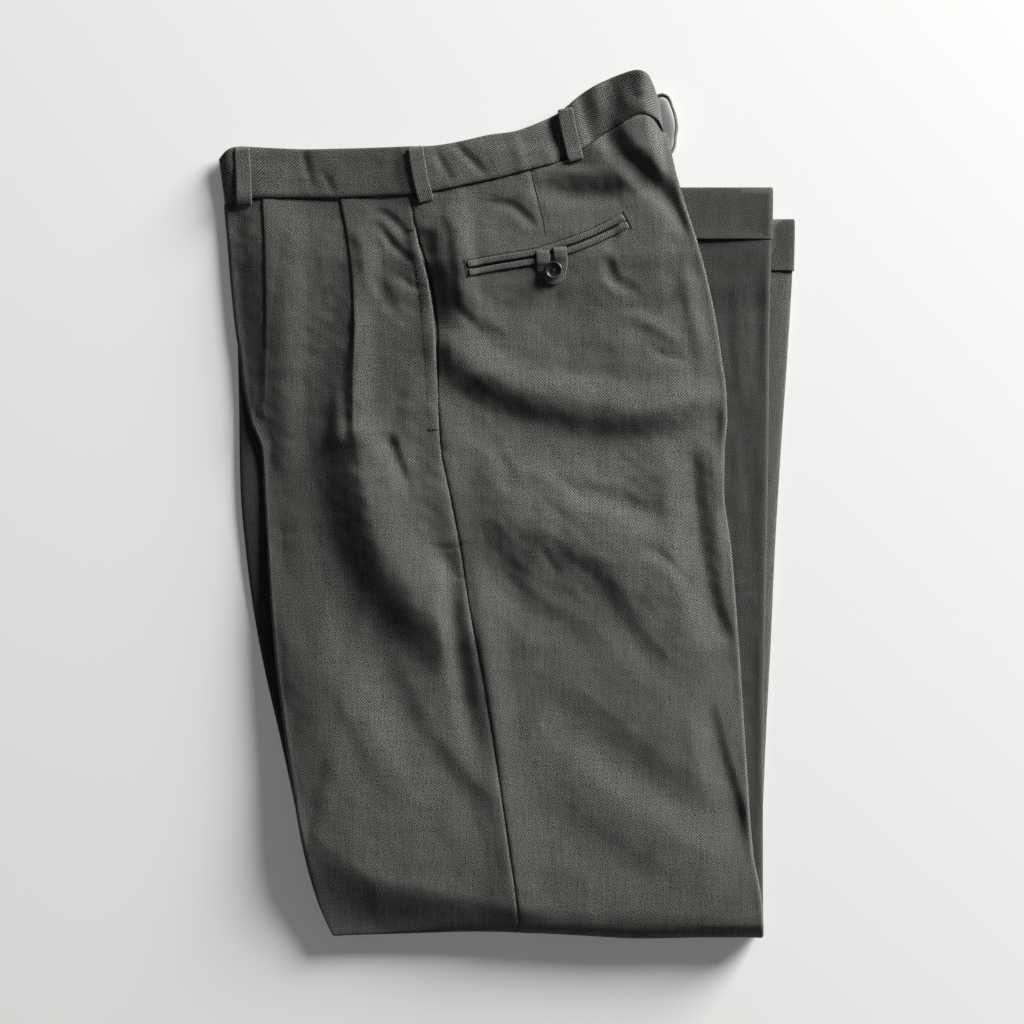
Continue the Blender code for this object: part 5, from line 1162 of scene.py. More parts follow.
# ---------------------------------------------------------------- turn-ups
def turnup(name, upper, front_x, back_x, out_level, in_level, up, mat):
    """A band turned up round the whole leg end: rounded at the hem, standing off at its free edge."""
    sections = []
    for y, off in ((upper - TURNUP, 1.72), (upper - TURNUP + 1.0, 1.7), (upper - TURNUP + 3, 1.62), (upper - 33, 1.52), (upper - 27, 1.46),
                   (upper - 20, 1.42), (upper - 13, 1.42), (upper - 7, 1.42), (upper - 3, 1.36), (upper - 1.2, 1.2), (upper - 0.3, 0.9), (upper, 0.5)):
        sections.append((y, off))

    def ring(y, off, grow):
        a, b = float(front_x(y)), float(back_x(y))
        xs = np.linspace(a + 0.2, b - 0.2, 60)
        zo, zi = float(out_level(xs.mean(), y)), float(in_level(xs.mean(), y))
        zm, half = (zo + zi) / 2, abs(zo - zi) / 2
        wob = 0.12 * FINE(xs * 1.3, y + 55) * (off > 1.3)
        reach = off + grow
        free = 0.55 * smooth(upper - 30, upper - TURNUP, y) * smooth(float(back_edge(y)) - 3, float(back_edge(y)) + 6, xs)
        top = [(x, y, zo + up * (reach + w) + (f if up > 0 else 0.0)) for x, w, f in zip(xs, wob, free)]
        turn = [math.radians(q) for q in (60, 30, 0, -30, -60)]
        right = [(b - 0.2 + (reach + 0.1) * math.cos(q), y, zm + up * (half + reach) * math.sin(q)) for q in turn]
        low = [(x, y, zi - up * reach * 0.96 + (f if up < 0 else 0.0)) for x, f in zip(xs[::-1], free[::-1])]
        left = [(a + 0.2 - (reach + 0.1) * math.cos(q), y, zm + up * (half + reach) * math.sin(q)) for q in turn[::-1]]
        return top + right + low + left
    outer = np.array([ring(y, off, 0.0) for y, off in sections])
    inner = np.array([ring(y, off, -0.85 if off > 1.3 else -0.5) for y, off in sections])
    inner[:, :, 1] += np.array([0, 0, 0, 0, 0, 0, 0, 0, 0, -0.3, -0.5, -0.7])[:, None]
    n, m = outer.shape[:2]
    verts = np.concatenate([outer.reshape(-1, 3), inner.reshape(-1, 3)])
    i, j = np.meshgrid(np.arange(n - 1), np.arange(m), indexing="ij")
    k = (j + 1) % m
    o = np.stack([i * m + j, i * m + k, (i + 1) * m + k, (i + 1) * m + j], axis=-1).reshape(-1, 4)
    q = (o + n * m)[:, ::-1]
    r = np.arange(m)
    s = (r + 1) % m
    start = np.stack([r, r + n * m, s + n * m, s], axis=1)
    stop = np.stack([(n - 1) * m + s, (n - 1) * m + s + n * m, (n - 1) * m + r + n * m, (n - 1) * m + r], axis=1)
    quads = np.concatenate([o, q, start, stop])
    a, b, c, d = (verts[quads[:, z]] for z in range(4))
    vol = (np.einsum("ij,ij->i", a, np.cross(b, c)) + np.einsum("ij,ij->i", a, np.cross(c, d))).sum()
    if vol < 0:
        quads = quads[:, ::-1]
    around = np.concatenate([[0], np.cumsum(np.linalg.norm(np.diff(outer[5], axis=0), axis=1))])
    along = np.array([y for y, off in sections]) + 0.0
    uv = np.stack([np.broadcast_to(around[None], (n, m)), np.broadcast_to(along[:, None], (n, m))], axis=-1).reshape(-1, 2) + 300
    return place(name, fill_mesh(name, verts, quads, np.concatenate([uv, uv])), mat)


# ---------------------------------------------------------------- back pocket
def pocket_path(n=97):
    return spline([(-29.8, 176.5), (-7.5, 180.8), (20.6, 185.6), (44.0, 192.7), (58.1, 198.0), (72.2, 204.3), (88.6, 212.5)], n)


def welt(name, offset, half, trees, mat):
    path = pocket_path()
    d, side = directions(path)
    line = path + side * offset
    zs = []
    for p, q in zip(line, side):
        hs = [height(trees, *(p + q * e)) for e in (-half, 0.0, half)]
        zs.append(max(h for h in hs if h is not None))
    zs = np.maximum(soft(zs, 3), np.array(zs) - 0.05)
    n = len(path)
    rings = []
    run = np.linspace(0, 127, n)
    for i in range(n):
        e = min(run[i], 127 - run[i])
        k = math.sqrt(max(0.06, 1 - max(0.0, (0.8 - e) / 0.8) ** 2))
        w = half * (0.9 + 0.1 * k)
        ring = [(math.cos(a) * w, zs[i] + 0.12 + 0.95 * k * max(0.0, math.sin(a)) ** 0.5) for a in np.linspace(0, math.pi, 13)]
        ring += [(-w * 0.9, zs[i] - 0.15), (w * 0.9, zs[i] - 0.15)]
        rings.append([(line[i, 0] + side[i, 0] * u, line[i, 1] + side[i, 1] * u, z) for u, z in ring])
    return loft(name, np.array(rings), mat, offset=(200, 20))


def ribbon(name, path, trees, half, thick, mat, lift=0.0, drop_ends=0.0, offset=(0, 0)):
    """A flat narrow strip lying on what is below it, its edges rounded."""
    d, side = directions(path)
    zs = []
    for p, q in zip(path, side):
        hs = [height(trees, *(p + q * e)) for e in (-half, -half / 2, 0.0, half / 2, half)]
        zs.append(max(h for h in hs if h is not None))
    wide = np.array([max(zs[max(0, i - 2):i + 3]) for i in range(len(zs))])
    zs = soft(wide, 3)
    n = len(path)
    s = np.linspace(0, 1, n)
    zs = zs + lift - drop_ends * (smooth(0.05, 0, s) + smooth(0.95, 1, s))
    rings = []
    for i in range(n):
        ring = [(math.cos(a) * half, zs[i] + 0.15 + thick * math.sin(a) ** 0.45) for a in np.linspace(0, math.pi, 13)]
        ring += [(-half * 0.94, zs[i]), (half * 0.94, zs[i])]
        rings.append([(path[i, 0] + side[i, 0] * u, path[i, 1] + side[i, 1] * u, z) for u, z in ring])
    return loft(name, np.array(rings), mat, offset=offset)


def tab_point(u, v):
    """u across and v down from the top of the tab to plan coordinates."""
    tx, ty = TAB_TOP
    return tx + u + 0.048 * v, ty - v + 0.18 * u


def pocket_tab(trees, mat):
    base = [(-6.4, -0.6), (-6.4, 6), (-6.2, 12), (-5.4, 17.0), (-3.2, 20.4), (0.0, 21.8), (3.4, 20.4), (5.8, 16.6), (6.6, 12), (6.6, 6), (6.3, -0.6)]
    path = spline([tab_point(u, v) for u, v in base], 71)
    return ribbon("pocket_tab_cloth", path, trees, 5.1, 0.85, mat, lift=0.1, drop_ends=0.7, offset=(230, 60))


def button(trees, mat):
    """Turned button: rounded rim, dished middle and four holes."""
    x0, y0 = BUTTON
    hs = [height(trees, x0 + r * math.cos(a), y0 + r * math.sin(a)) for r in (0, 3.5, 6.8) for a in np.linspace(0, 2 * math.pi, 13)]
    base = max(h for h in hs if h is not None) + 0.25
    radii = np.concatenate([np.linspace(0, 4.6, 42), np.linspace(4.75, 7.0, 18)])
    ring = 112
    ang = np.linspace(0, 2 * math.pi, ring, endpoint=False)
    prof = np.interp(radii, [0, 3.6, 4.5, 5.0, 5.6, 6.2, 6.7, 7.0], [1.45, 1.5, 1.75, 2.35, 2.6, 2.45, 1.9, 1.25])
    verts, top = [], []
    for r, z in zip(radii, prof):
        x, y = r * np.cos(ang), r * np.sin(ang)
        zz = np.full(ring, z)
        for k in range(4):
            a = math.radians(20 + 90 * k)
            d = np.hypot(x - 1.95 * math.cos(a), y - 1.95 * math.sin(a))
            zz = zz - 1.25 * smooth(0.98, 0.68, d)
        verts.append(np.stack([x, y, zz], axis=1))
    for r, z in ((6.75, 0.6), (6.0, 0.1), (3.0, 0.0), (0.4, 0.0)):
        verts.append(np.stack([r * np.cos(ang), r * np.sin(ang), np.full(ring, z)], axis=1))
    v = np.array(verts)
    v = v + np.array([x0, y0, base])
    ob = loft("pocket_button_horn", v[1:], mat, uv=v[1:, :, :2] - np.array([x0, y0]))
    return ob, base


def capsule_rows(name, stitches, radius, mat, sides=6):
    """Many small stitches in one mesh: each one a short rounded thread from a to b."""
    verts, quads, tris, uvs = [], [], [], []
    for a, b in stitches:
        a, b = np.array(a, float), np.array(b, float)
        d = b - a
        ln = np.linalg.norm(d)
        d = d / max(ln, 1e-9)
        up = np.array([0, 0, 1.0]) if abs(d[2]) < 0.9 else np.array([1.0, 0, 0])
        e = np.cross(d, up)
        e /= np.linalg.norm(e)
        f = np.cross(e, d)
        start = len(verts)
        for t, r in ((0.0, 0.35), (0.18, 0.95), (0.5, 1.1), (0.82, 0.95), (1.0, 0.35)):
            sag = -0.25 * radius * (2 * abs(t - 0.5)) ** 2
            for k in range(sides):
                an = 2 * math.pi * k / sides
                verts.append(a + d * ln * t + f * sag + (e * math.cos(an) + f * math.sin(an)) * radius * r)
                uvs.append((t * ln + len(uvs) % 7, k))
        for i in range(4):
            for k in range(sides):
                k2 = (k + 1) % sides
                quads.append((start + i * sides + k, start + (i + 1) * sides + k, start + (i + 1) * sides + k2, start + i * sides + k2))
        for i, rev in ((0, False), (4, True)):
            ring = [start + i * sides + k for k in range(sides)]
            for k in range(1, sides - 1):
                t3 = (ring[0], ring[k], ring[k + 1])
                tris.append(t3[::-1] if rev else t3)
    return place(name, fill_mesh(name, np.array(verts), np.array(quads), np.array(uvs), np.array(tris)), mat)


def stitch_line(points, trees, length=2.1, gap=0.75, rise=0.05, jitter=0.08):
    """Stitches along a line in plan, laid on the cloth."""
    total = float(np.hypot(*(np.diff(np.array(points, float)[:, :2], axis=0).T)).sum())
    path = spline(points, max(20, int(total * 2)))
    run = np.concatenate([[0], np.cumsum(np.hypot(*(np.diff(path[:, :2], axis=0).T)))])
    out = []
    at = 0.4
    while at + length < run[-1]:
        ends = []
        for s in (at, at + length):
            x, y = float(np.interp(s, run, path[:, 0])), float(np.interp(s, run, path[:, 1]))
            x += float(RNG.uniform(-jitter, jitter))
            y += float(RNG.uniform(-jitter, jitter))
            z = height(trees, x, y)
            ends.append(None if z is None else (x, y, z + rise))
        if None not in ends:
            out.append(tuple(ends))
        at += length + gap
    return out


def seam_line(name, points, trees, radius, mat, step=1.4):
    """Painted shadow along a seam, dart or opening: a thin dark tube laid half sunk in the cloth."""
    path = spline(points, int(np.hypot(*(np.diff(np.array(points)[:, :2], axis=0).T)).sum() / step))
    rings = []
    d, side = directions(path)
    for i, (p, q) in enumerate(zip(path, side)):
        z = max(height(trees, *(p + q * e)) or 0.0 for e in (-0.5, 0.0, 0.5))
        k = min(1.0, 0.25 + 0.3 * min(i, len(path) - 1 - i))
        rings.append([(p[0] + q[0] * radius * k * math.cos(a), p[1] + q[1] * radius * k * math.cos(a), z - 0.08 + 0.18 * k * math.sin(a))
                      for a in np.linspace(0, 2 * math.pi, 8, endpoint=False)])
    return loft(name, np.array(rings), mat)


SIDE_STITCH = [(-73.4, 204.7), (-71.2, 192), (-68.8, 180.7), (-65.1, 158), (-62.5, 126.7), (-60.9, 101.2), (-59.6, 76), (-59.2, 57.5)]


def bar_tack(a, b, trees, rows=3, spread=0.45):
    out = []
    a, b = np.array(a, float), np.array(b, float)
    d = (b - a) / np.hypot(*(b - a))
    n = np.array([-d[1], d[0]])
    for k in range(rows):
        o = n * (k - (rows - 1) / 2) * spread
        p, q = a + o, b + o
        cuts = np.linspace(0, 1, 4)
        for s, t in zip(cuts, cuts[1:]):
            ends = []
            for r in (s, t):
                x, y = p + (q - p) * r
                z = height(trees, x, y)
                ends.append((x, y, (z if z is not None else 20) + 0.16))
            out.append(tuple(ends))
    return out


def strip_shell(name, ys, left, right, level, thick, mat, cols=9):
    rows = []
    for y in ys:
        xs = np.linspace(float(left(y)), float(right(y)), cols)
        rows.append(np.stack([xs, np.full(cols, y), level(xs, np.full(cols, y))], axis=1))
    return shell(name, np.array(rows), 1, mat, thick=thick)


# ---------------------------------------------------------------- materials
class Nodes:
    """Short hands for building a node tree."""

    def __init__(self, name):
        self.mat = bpy.data.materials.new(name)
        self.mat.use_nodes = True
        self.tree = self.mat.node_tree
        self.bsdf = self.tree.nodes["Principled BSDF"]

    def new(self, kind, **values):
        n = self.tree.nodes.new(kind)
        for k, v in values.items():
            setattr(n, k, v)
        return n

    def link(self, a, b):
        self.tree.links.new(a, b)

    def math(self, op, a, b=None, c=None, clamp=False):
        n = self.new("ShaderNodeMath", operation=op, use_clamp=clamp)
        for i, v in enumerate((a, b, c)):
            if v is None:
                continue
            if isinstance(v, (int, float)):
                n.inputs[i].default_value = v
            else:
                self.link(v, n.inputs[i])
        return n.outputs[0]

    def scaled(self, vector, scale, offset=(0, 0, 0)):
        n = self.new("ShaderNodeMapping")
        n.inputs["Scale"].default_value = scale
        n.inputs["Location"].default_value = offset
        self.link(vector, n.inputs["Vector"])
        return n.outputs[0]

    def noise(self, vector, scale, detail=2.0, rough=0.5, distortion=0.0):
        n = self.new("ShaderNodeTexNoise")
        n.inputs["Scale"].default_value = scale
        n.inputs["Detail"].default_value = detail
        n.inputs["Roughness"].default_value = rough
        n.inputs["Distortion"].default_value = distortion
        self.link(vector, n.inputs["Vector"])
        return n.outputs["Fac"]


def wool(name, level=1.0, tint=(1.0, 1.0, 1.0), turn=0.0, bump=1.0):
    """Fine two-tone worsted: slanting lines of the weave that change direction in patches, streaks of
    uneven yarn both ways, and soft mottling. It is laid on the threads of each piece."""
    k = Nodes(name)
    uv = k.new("ShaderNodeUVMap", uv_map="weave").outputs["UV"]
    if turn:
        r = k.new("ShaderNodeVectorRotate", rotation_type="Z_AXIS")
        r.inputs["Angle"].default_value = turn
        k.link(uv, r.inputs["Vector"])
        uv = r.outputs["Vector"]
    parts = k.new("ShaderNodeSeparateXYZ")
    k.link(uv, parts.inputs[0])
    u, v = parts.outputs[0], parts.outputs[1]
    wob = k.noise(k.scaled(uv, (330, 330, 60)), 1.0, 2.0)
    wob = k.math("MULTIPLY", k.math("SUBTRACT", wob, 0.5), 4.0)
    period = 0.0020
    w = 2 * math.pi / period
    along = k.math("MULTIPLY", u, w)
    up = k.math("MULTIPLY", v, w * 0.9)
    right = k.math("SINE", k.math("ADD", k.math("ADD", along, up), wob))
    left = k.math("SINE", k.math("ADD", k.math("SUBTRACT", along, up), wob))
    pick = k.noise(k.scaled(uv, (100, 46, 1)), 1.0, 2.0)
    pick = k.math("MULTIPLY", k.math("SUBTRACT", pick, 0.5), 8.0)
    pick = k.math("ADD", pick, 0.5, clamp=True)
    twill = k.math("ADD", k.math("MULTIPLY", right, pick), k.math("MULTIPLY", left, k.math("SUBTRACT", 1.0, pick)))
    strokes = []
    for angle in (0.87, -0.87):
        r = k.new("ShaderNodeVectorRotate", rotation_type="Z_AXIS")
        r.inputs["Angle"].default_value = angle
        k.link(uv, r.inputs["Vector"])
        strokes.append(k.noise(k.scaled(r.outputs["Vector"], (1550, 1150, 1), (9 * angle, 4, 0)), 1.0, 0.4))
    speck = k.math("ADD", k.math("MULTIPLY", strokes[0], pick), k.math("MULTIPLY", strokes[1], k.math("SUBTRACT", 1.0, pick)))
    speck = k.math("MULTIPLY", k.math("SUBTRACT", speck, 0.5), 2.4)
    warp = k.math("MULTIPLY", k.math("SUBTRACT", k.noise(k.scaled(uv, (820, 34, 1)), 1.0, 2.0, 0.6), 0.5), 2.0)
    weft = k.math("MULTIPLY", k.math("SUBTRACT", k.noise(k.scaled(uv, (30, 760, 1), (3, 7, 0)), 1.0, 2.0, 0.6), 0.5), 2.0)
    blotch = k.math("MULTIPLY", k.math("SUBTRACT", k.noise(k.scaled(uv, (17, 13, 1), (1, 2, 0)), 1.0, 2.0), 0.5), 1.0)
    grain = k.math("ADD", k.math("MULTIPLY", twill, TWILL), k.math("MULTIPLY", speck, SPECK))
    grain = k.math("ADD", grain, k.math("MULTIPLY", warp, STREAK))
    grain = k.math("ADD", grain, k.math("MULTIPLY", weft, STREAK * 0.7))
    tone = k.math("ADD", k.math("ADD", grain, k.math("MULTIPLY", blotch, 0.16)), 0.5, clamp=True)
    ramp = k.new("ShaderNodeValToRGB")
    ramp.color_ramp.elements[0].position = 0.0
    ramp.color_ramp.elements[1].position = 1.0
    dark = [c * level * t for c, t in zip(YARN_DARK, tint)]
    pale = [c * level * t for c, t in zip(YARN_PALE, tint)]
    ramp.color_ramp.elements[0].color = (*dark, 1)
    ramp.color_ramp.elements[1].color = (*pale, 1)
    k.link(tone, ramp.inputs[0])
    k.link(ramp.outputs[0], k.bsdf.inputs["Base Color"])
    height = k.math("ADD", k.math("MULTIPLY", twill, 0.5), k.math("ADD", k.math("MULTIPLY", speck, 0.35), k.math("MULTIPLY", warp, 0.4)))
    b = k.new("ShaderNodeBump")
    b.inputs["Strength"].default_value = 0.35 * bump
    b.inputs["Distance"].default_value = 0.00012
    k.link(height, b.inputs["Height"])
    k.link(b.outputs[0], k.bsdf.inputs["Normal"])
    k.bsdf.inputs["Roughness"].default_value = 0.92
    k.bsdf.inputs["Specular IOR Level"].default_value = 0.18
    k.bsdf.inputs["Sheen Weight"].default_value = 0.12
    k.bsdf.inputs["Sheen Roughness"].default_value = 0.6
    k.bsdf.inputs["Sheen Tint"].default_value = (0.8, 0.8, 0.78, 1)
    return k.mat


YARN_DARK = (0.006, 0.0058, 0.0050)
YARN_PALE = (0.178, 0.177, 0.170)
TWILL, SPECK, STREAK = 0.56, 1.5, 0.4


# ---------------------------------------------------------------- floor, light and camera
def stage():
    size = 2.4
    verts = [(-size, -size, -0.0003), (size, -size, -0.0003), (size, size, -0.0003), (-size, size, -0.0003)]
    mesh = bpy.data.meshes.new("floor")
    mesh.from_pydata(verts, [], [(0, 1, 2, 3)])
    floor = bpy.data.objects.new("floor", mesh)
    bpy.context.scene.collection.objects.link(floor)
    m = bpy.data.materials.new("floor")
    m.use_nodes = True
    b = m.node_tree.nodes["Principled BSDF"]
    b.inputs["Base Color"].default_value = (*FLOOR, 1)
    b.inputs["Roughness"].default_value = 0.9
    b.inputs["Specular IOR Level"].default_value = 0.1
    b.inputs["Emission Color"].default_value = (1.0, 1.0, 1.0, 1)
    b.inputs["Emission Strength"].default_value = FLOOR_GLOW
    mesh.materials.append(m)

    world = bpy.data.worlds.new("studio")
    world.use_nodes = True
    bg = world.node_tree.nodes["Background"]
    bg.inputs["Color"].default_value = (*FILL_COLOUR, 1)
    bg.inputs["Strength"].default_value = FILL
    bpy.context.scene.world = world

    def lamp(name, azimuth, elevation, distance, size, power, colour):
        light = bpy.data.lights.new(name, "AREA")
        light.shape = "DISK"
        light.size = size
        light.energy = power
        light.color = colour
        ob = bpy.data.objects.new(name, light)
        a, e = math.radians(azimuth), math.radians(elevation)
        ob.location = (distance * math.cos(e) * math.cos(a), distance * math.cos(e) * math.sin(a), distance * math.sin(e))
        ob.rotation_euler = (-ob.location).to_track_quat("-Z", "Y").to_euler()
        bpy.context.scene.collection.objects.link(ob)
        return ob
    for args in LAMPS:
        lamp(*args)


def camera():
    data = bpy.data.cameras.new("camera")
    data.type = "PERSP"
    data.sensor_fit = "HORIZONTAL"
    data.sensor_width = 36.0
    height = 3.0
    data.lens = 36.0 * (height - 0.012) / 0.768
    data.clip_start, data.clip_end = 0.05, 20.0
    data.dof.use_dof = False
    ob = bpy.data.objects.new("camera", data)
    ob.location = (0.003375, -0.00525, height)
    ob.rotation_euler = (0, 0, 0)
    bpy.context.scene.collection.objects.link(ob)
    bpy.context.scene.camera = ob


FLOOR = (0.84, 0.84, 0.84)
FILL_COLOUR = (0.93, 0.96, 1.0)
FILL = 0.06
FLOOR_GLOW = 0.12
LAMPS = [("key", 42, 15, 6.0, 3.0, 1120.0, (1.0, 0.985, 0.965))]



def plain(name, colour, roughness, metallic=0.0, specular=0.5, grain=0.0):
    """Horn, metal or tape; grain sets how far its tone wanders."""
    k = Nodes(name)
    coord = k.new("ShaderNodeTexCoord").outputs["Object"]
    n = k.noise(coord, 900.0, 3.0, 0.6)
    ramp = k.new("ShaderNodeValToRGB")
    ramp.color_ramp.elements[0].color = (*[c * (1 - grain) for c in colour], 1)
    ramp.color_ramp.elements[1].color = (*[c * (1 + grain) for c in colour], 1)
    k.link(n, ramp.inputs[0])
    k.link(ramp.outputs[0], k.bsdf.inputs["Base Color"])
    k.bsdf.inputs["Roughness"].default_value = roughness
    k.bsdf.inputs["Metallic"].default_value = metallic
    k.bsdf.inputs["Specular IOR Level"].default_value = specular
    return k.mat


def horn(name):
    """Imitation horn: dark grey-green middle with a marbled tone of its own; the paler marbled rim on its lower right
    side is painted highlight.
    """
    k = Nodes(name)
    coord = k.new("ShaderNodeTexCoord").outputs["Object"]
    centred = k.new("ShaderNodeVectorMath", operation="SUBTRACT")
    k.link(coord, centred.inputs[0])
    centred.inputs[1].default_value = (BUTTON[0] * MM, BUTTON[1] * MM, 0.0)
    stretched = k.scaled(centred.outputs[0], (120, 420, 60))
    marble = k.noise(stretched, 1.0, 4.0, 0.62, 1.4)
    length = k.new("ShaderNodeVectorMath", operation="LENGTH")
    flat = k.scaled(centred.outputs[0], (1, 1, 0))
    k.link(flat, length.inputs[0])
    rim = k.math("MULTIPLY", k.math("SUBTRACT", length.outputs["Value"], 0.0044), 900.0, clamp=True)
    parts = k.new("ShaderNodeSeparateXYZ")
    k.link(centred.outputs[0], parts.inputs[0])
    # Painted highlight: the rim turns pale only on its lower right side.
    lower = k.math("MULTIPLY", k.math("SUBTRACT", k.math("MULTIPLY", parts.outputs[0], 0.5), parts.outputs[1]), 110.0)
    lower = k.math("ADD", lower, 0.35, clamp=True)
    pale = k.math("MULTIPLY", k.math("MULTIPLY", rim, lower), marble, clamp=True)
    tone = k.math("ADD", k.math("MULTIPLY", marble, 0.28), k.math("MULTIPLY", pale, 0.9), clamp=True)
    ramp = k.new("ShaderNodeValToRGB")
    ramp.color_ramp.elements[0].color = (0.010, 0.014, 0.0135, 1)
    ramp.color_ramp.elements[0].position = 0.2
    ramp.color_ramp.elements[1].color = (0.125, 0.112, 0.082, 1)
    ramp.color_ramp.elements[1].position = 0.85
    k.link(tone, ramp.inputs[0])
    k.link(ramp.outputs[0], k.bsdf.inputs["Base Color"])
    k.bsdf.inputs["Roughness"].default_value = 0.32
    k.bsdf.inputs["Specular IOR Level"].default_value = 0.5
    return k.mat


# ---------------------------------------------------------------- all together
def area_of(ob):
    m = ob.data
    a = np.zeros(len(m.polygons), np.float32)
    m.polygons.foreach_get("area", a)
    return float(a.sum())


def main():
    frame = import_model()
    bpy.context.scene.view_settings.view_transform = "Standard"
    bpy.context.scene.view_settings.look = "None"

    cloth = wool("wool_left", 1.0)
    # A darker copy of the same wool for the right leg's panels, the layers between and both turn-ups: painted shade on
    # the lower legs.
    cloth_shaded = wool("wool_right_shaded", SHADED_LEVEL, (0.99, 1.0, 1.0))
    band_cloth = wool("wool_band", 1.02, turn=math.pi / 2)
    trim_cloth = wool("wool_trim", 1.0, turn=0.12)
    welt_cloth = wool("wool_welt", 0.97, turn=math.pi / 2)
    thread = plain("thread", (0.050, 0.050, 0.047), 0.85, specular=0.2, grain=0.3)
    pieces = []

    def keep(ob, slot, *nodes):
        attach(ob, "root")
        if nodes:
            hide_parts(*nodes)
        pieces.append(ob)
        return ob

    front, _ = make_panel("left_front_cloth", left_front_panel(), 2.1, 6.5, 12, cloth, across=1)
    back, _ = make_panel("left_back_cloth", left_back_panel(), 2.1, 6.5, 121, cloth, across=-1)
    r_front, _ = make_panel("right_front_cloth", right_front_panel(), 5.0, 6.5, 14, cloth_shaded)
    r_back, _ = make_panel("right_back_cloth", right_back_panel(), 5.0, 5.0, 66, cloth_shaded)
    between = hidden_solid(cloth_shaded)
    keep(front, "wool", "left_front")
    keep(back, "wool", "left_back")
    keep(r_front, "wool", "right_front")
    keep(r_back, "wool", "right_back")
    keep(between, "wool", "hidden_layers")

    facing = strip_shell("side_pocket_facing_cloth", np.linspace(212, 76, 60), lambda y: side_seam(y) - 6.0, lambda y: side_seam(y) + 7.5,
                         lambda x, y: left_top(x, y) - mouth(x, y) - mouth_depth(y) - 1.0, 0.6, cloth)
    keep(facing, "wool", "side_pocket_facing")

    cuff_l = turnup("turnup_left_cloth", HEM_LEFT, left_front_x, left_back_x, left_shin_out, left_shin_in, -1, cloth_shaded)
    cuff_r = turnup("turnup_right_cloth", HEM_RIGHT, right_front_x, right_back_x, right_shin_out, right_shin_in, 1, cloth_shaded)
    keep(cuff_l, "wool", "turnup_left")
    keep(cuff_r, "wool", "turnup_right")

    band_l = keep(waistband("waistband_left_cloth", 1, band_cloth), "wool_band", "waistband_left")
    band_r = keep(waistband("waistband_right_cloth", -1, band_cloth), "wool_band", "waistband_right")
    on_left = tree(band_l, front, back)
    on_right = tree(band_r)
    loops = []
    for lp in LOOPS:
        ob = belt_loop(lp, on_left if lp.side > 0 else on_right, trim_cloth)
        loops.append(keep(ob, "wool_trim", lp.name))
    loops.append(keep(centre_loop(trim_cloth), "wool_trim", "belt_loop_centre_back"))

    on_back = tree(back)
    high = keep(welt("pocket_welt_upper_cloth", 3.25, 2.4, on_back, welt_cloth), "wool_trim", "pocket_welt_upper")
    low = keep(welt("pocket_welt_lower_cloth", -3.25, 2.35, on_back, welt_cloth), "wool_trim", "pocket_welt_lower")
    near = on_back + tree(high, low)
    tab = keep(pocket_tab(near, trim_cloth), "wool_trim", "pocket_tab")
    near = near + tree(tab)
    horn_mat = horn("horn")
    knob, base = button(near, horn_mat)
    keep(knob, "horn_button", "pocket_button")

    stitches = stitch_line(SIDE_STITCH, on_left, 2.3, 0.8)
    stitches += bar_tack((-75.0, 206.0), (-69.8, 205.6), on_left) + bar_tack((-59.4, 56.6), (-51.0, 56.2), on_left)
    keep(capsule_rows("stitches_side_pocket", stitches, 0.2, thread), "wool_trim")
    line = pocket_path(60)
    d, side = directions(line)
    # Near-black thin tubes along the pocket opening, the waist seam, the dart and the welt edges: painted shadow in
    # these seams and openings.
    dark = plain("seam_shadow", (0.012, 0.0118, 0.011), 0.9, specular=0.1, grain=0.3)
    keep(seam_line("pocket_opening_shadow", line[1:-1:2], on_back, 0.85, dark), "wool_trim")
    waist = [(x, float(waist_y(x)) - 0.1) for x in np.linspace(-203, 113, 46)]
    keep(seam_line("waist_seam_shadow", waist, on_left, 0.3, dark), "wool_trim")
    keep(seam_line("dart_shadow", [(16.4, 255.6), (19.6, 241), (23.6, 225.0), (26.5, 213.0), (28.9, 198.6)], on_back, 0.42, dark), "wool_trim")
    for n, o in (("upper", 5.95), ("lower", -5.85)):
        keep(seam_line("welt_edge_shadow_" + n, [p + q * o for p, q in zip(line[::4], side[::4])], on_back, 0.38, dark), "wool_trim")
    upper = [p + q * 6.9 for p, q in zip(line[::4], side[::4])]
    lower = [p - q * 6.7 for p, q in zip(line[::4], side[::4])]
    stitches = stitch_line(upper, on_back, 1.7, 0.6) + stitch_line(lower, on_back, 1.7, 0.6)
    for i, k in ((0, -1), (-1, 1)):
        e = line[i] + d[i] * 1.2 * k
        stitches += bar_tack(e + side[i] * 7.4, e - side[i] * 7.2, on_back, rows=2, spread=0.9)
    keep(capsule_rows("stitches_back_pocket", stitches, 0.17, thread), "wool_trim")
    sewn = []
    for a in (20, 110):
        r = math.radians(a)
        for s in (-0.16, 0.16):
            ox, oy = -math.sin(r) * s, math.cos(r) * s
            sewn.append(((BUTTON[0] + 1.9 * math.cos(r) + ox, BUTTON[1] + 1.9 * math.sin(r) + oy, base + 1.35 + (0.22 if a > 90 else 0)),
                         (BUTTON[0] - 1.9 * math.cos(r) + ox, BUTTON[1] - 1.9 * math.sin(r) + oy, base + 1.35 + (0.22 if a > 90 else 0))))
    keep(capsule_rows("button_thread", sewn, 0.16, thread), "wool_trim")

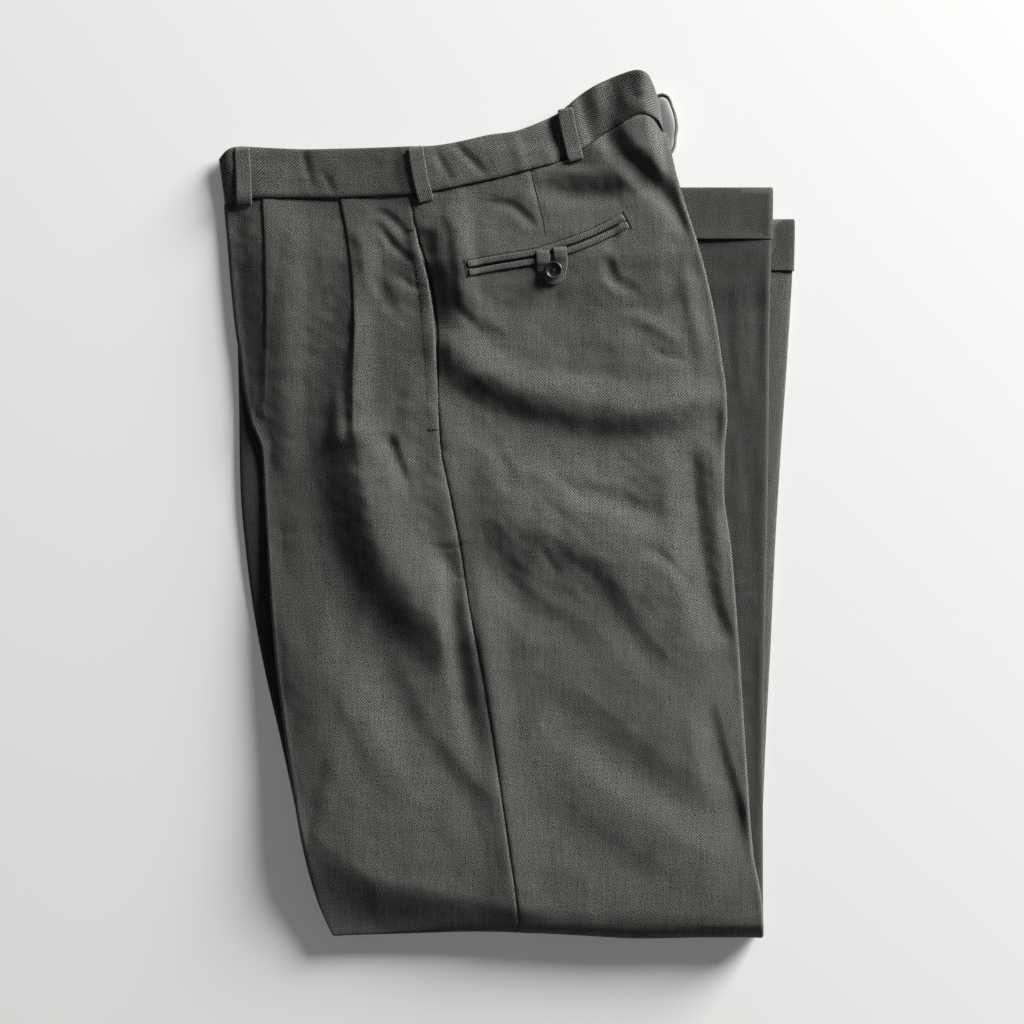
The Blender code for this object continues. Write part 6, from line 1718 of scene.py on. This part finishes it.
    tape = plain("zip_tape", (0.045, 0.045, 0.045), 0.85, specular=0.2, grain=0.25)
    zip_tape = strip_shell("fly_zip_tape", np.linspace(224, 96, 30), lambda y: under_front(y) + 43.5, lambda y: under_front(y) + 62.0,
                           lambda x, y: right_top(x, y) + 1.25, 0.9, tape)
    keep(zip_tape, "zip_tape", "fly_zip")
    brass = plain("zip_metal", (0.45, 0.36, 0.2), 0.35, 1.0, grain=0.15)
    steel = plain("hook_metal", (0.5, 0.5, 0.5), 0.35, 1.0, grain=0.08)
    for node, mat in (("zip_slider", brass), ("waist_hook", steel)):
        ob = frame["nodes"][node]
        ob.data.materials.clear()
        ob.data.materials.append(mat)

    stage()
    camera()
    made = {ob.name: ob for ob in pieces}
    for name, width, length, held, rests in SHEETS:
        ob = made[name]
        cut = min(area_of(ob) / 2, 0.998 * width * length)


# Each sheet of cloth as cut: name, width and length in metres, how it lies, and on what.
SHEETS = [
    ("left_front_cloth", 0.222, 1.098, "folded", ["layers_between", "right_front_cloth"]),
    ("left_back_cloth", 0.242, 1.098, "folded", ["layers_between", "right_back_cloth"]),
    ("right_front_cloth", 0.205, 1.106, "folded", ["left_front_cloth", "floor"]),
    ("right_back_cloth", 0.235, 1.106, "folded", ["left_back_cloth", "floor"]),
    ("side_pocket_facing_cloth", 0.0138, 0.138, "laid", ["left_front_cloth"]),
    ("turnup_left_cloth", 0.442, 0.0405, "folded", ["left_front_cloth", "left_back_cloth"]),
    ("turnup_right_cloth", 0.442, 0.0405, "folded", ["right_front_cloth", "right_back_cloth"]),
    ("waistband_left_cloth", 0.352, 0.0355, "laid", ["left_front_cloth", "left_back_cloth"]),
    ("waistband_right_cloth", 0.345, 0.0355, "laid", ["right_front_cloth", "right_back_cloth"]),
    ("belt_loop_left_front_cloth", 0.0118, 0.0455, "laid", ["waistband_left_cloth"]),
    ("belt_loop_left_side_cloth", 0.0118, 0.0435, "laid", ["waistband_left_cloth"]),
    ("belt_loop_left_back_cloth", 0.0118, 0.0415, "laid", ["waistband_left_cloth"]),
    ("belt_loop_right_front_cloth", 0.011, 0.031, "laid", ["waistband_right_cloth", "floor"]),
    ("belt_loop_right_side_cloth", 0.011, 0.0285, "laid", ["waistband_right_cloth", "floor"]),
    ("belt_loop_right_back_cloth", 0.011, 0.0270, "laid", ["waistband_right_cloth", "floor"]),
    ("belt_loop_centre_back_cloth", 0.0118, 0.0700, "folded", ["waistband_left_cloth", "waistband_right_cloth"]),
    ("pocket_welt_upper_cloth", 0.0105, 0.1270, "folded", ["left_back_cloth"]),
    ("pocket_welt_lower_cloth", 0.0105, 0.1270, "folded", ["left_back_cloth"]),
    ("pocket_tab_cloth", 0.0105, 0.0560, "folded", ["left_back_cloth", "pocket_welt_lower_cloth"]),
    ("fly_zip_tape", 0.0185, 0.1280, "laid", ["right_front_cloth"]),
]

# Brightness of the darker copy of the wool: painted shade.
SHADED_LEVEL = 0.62

main()
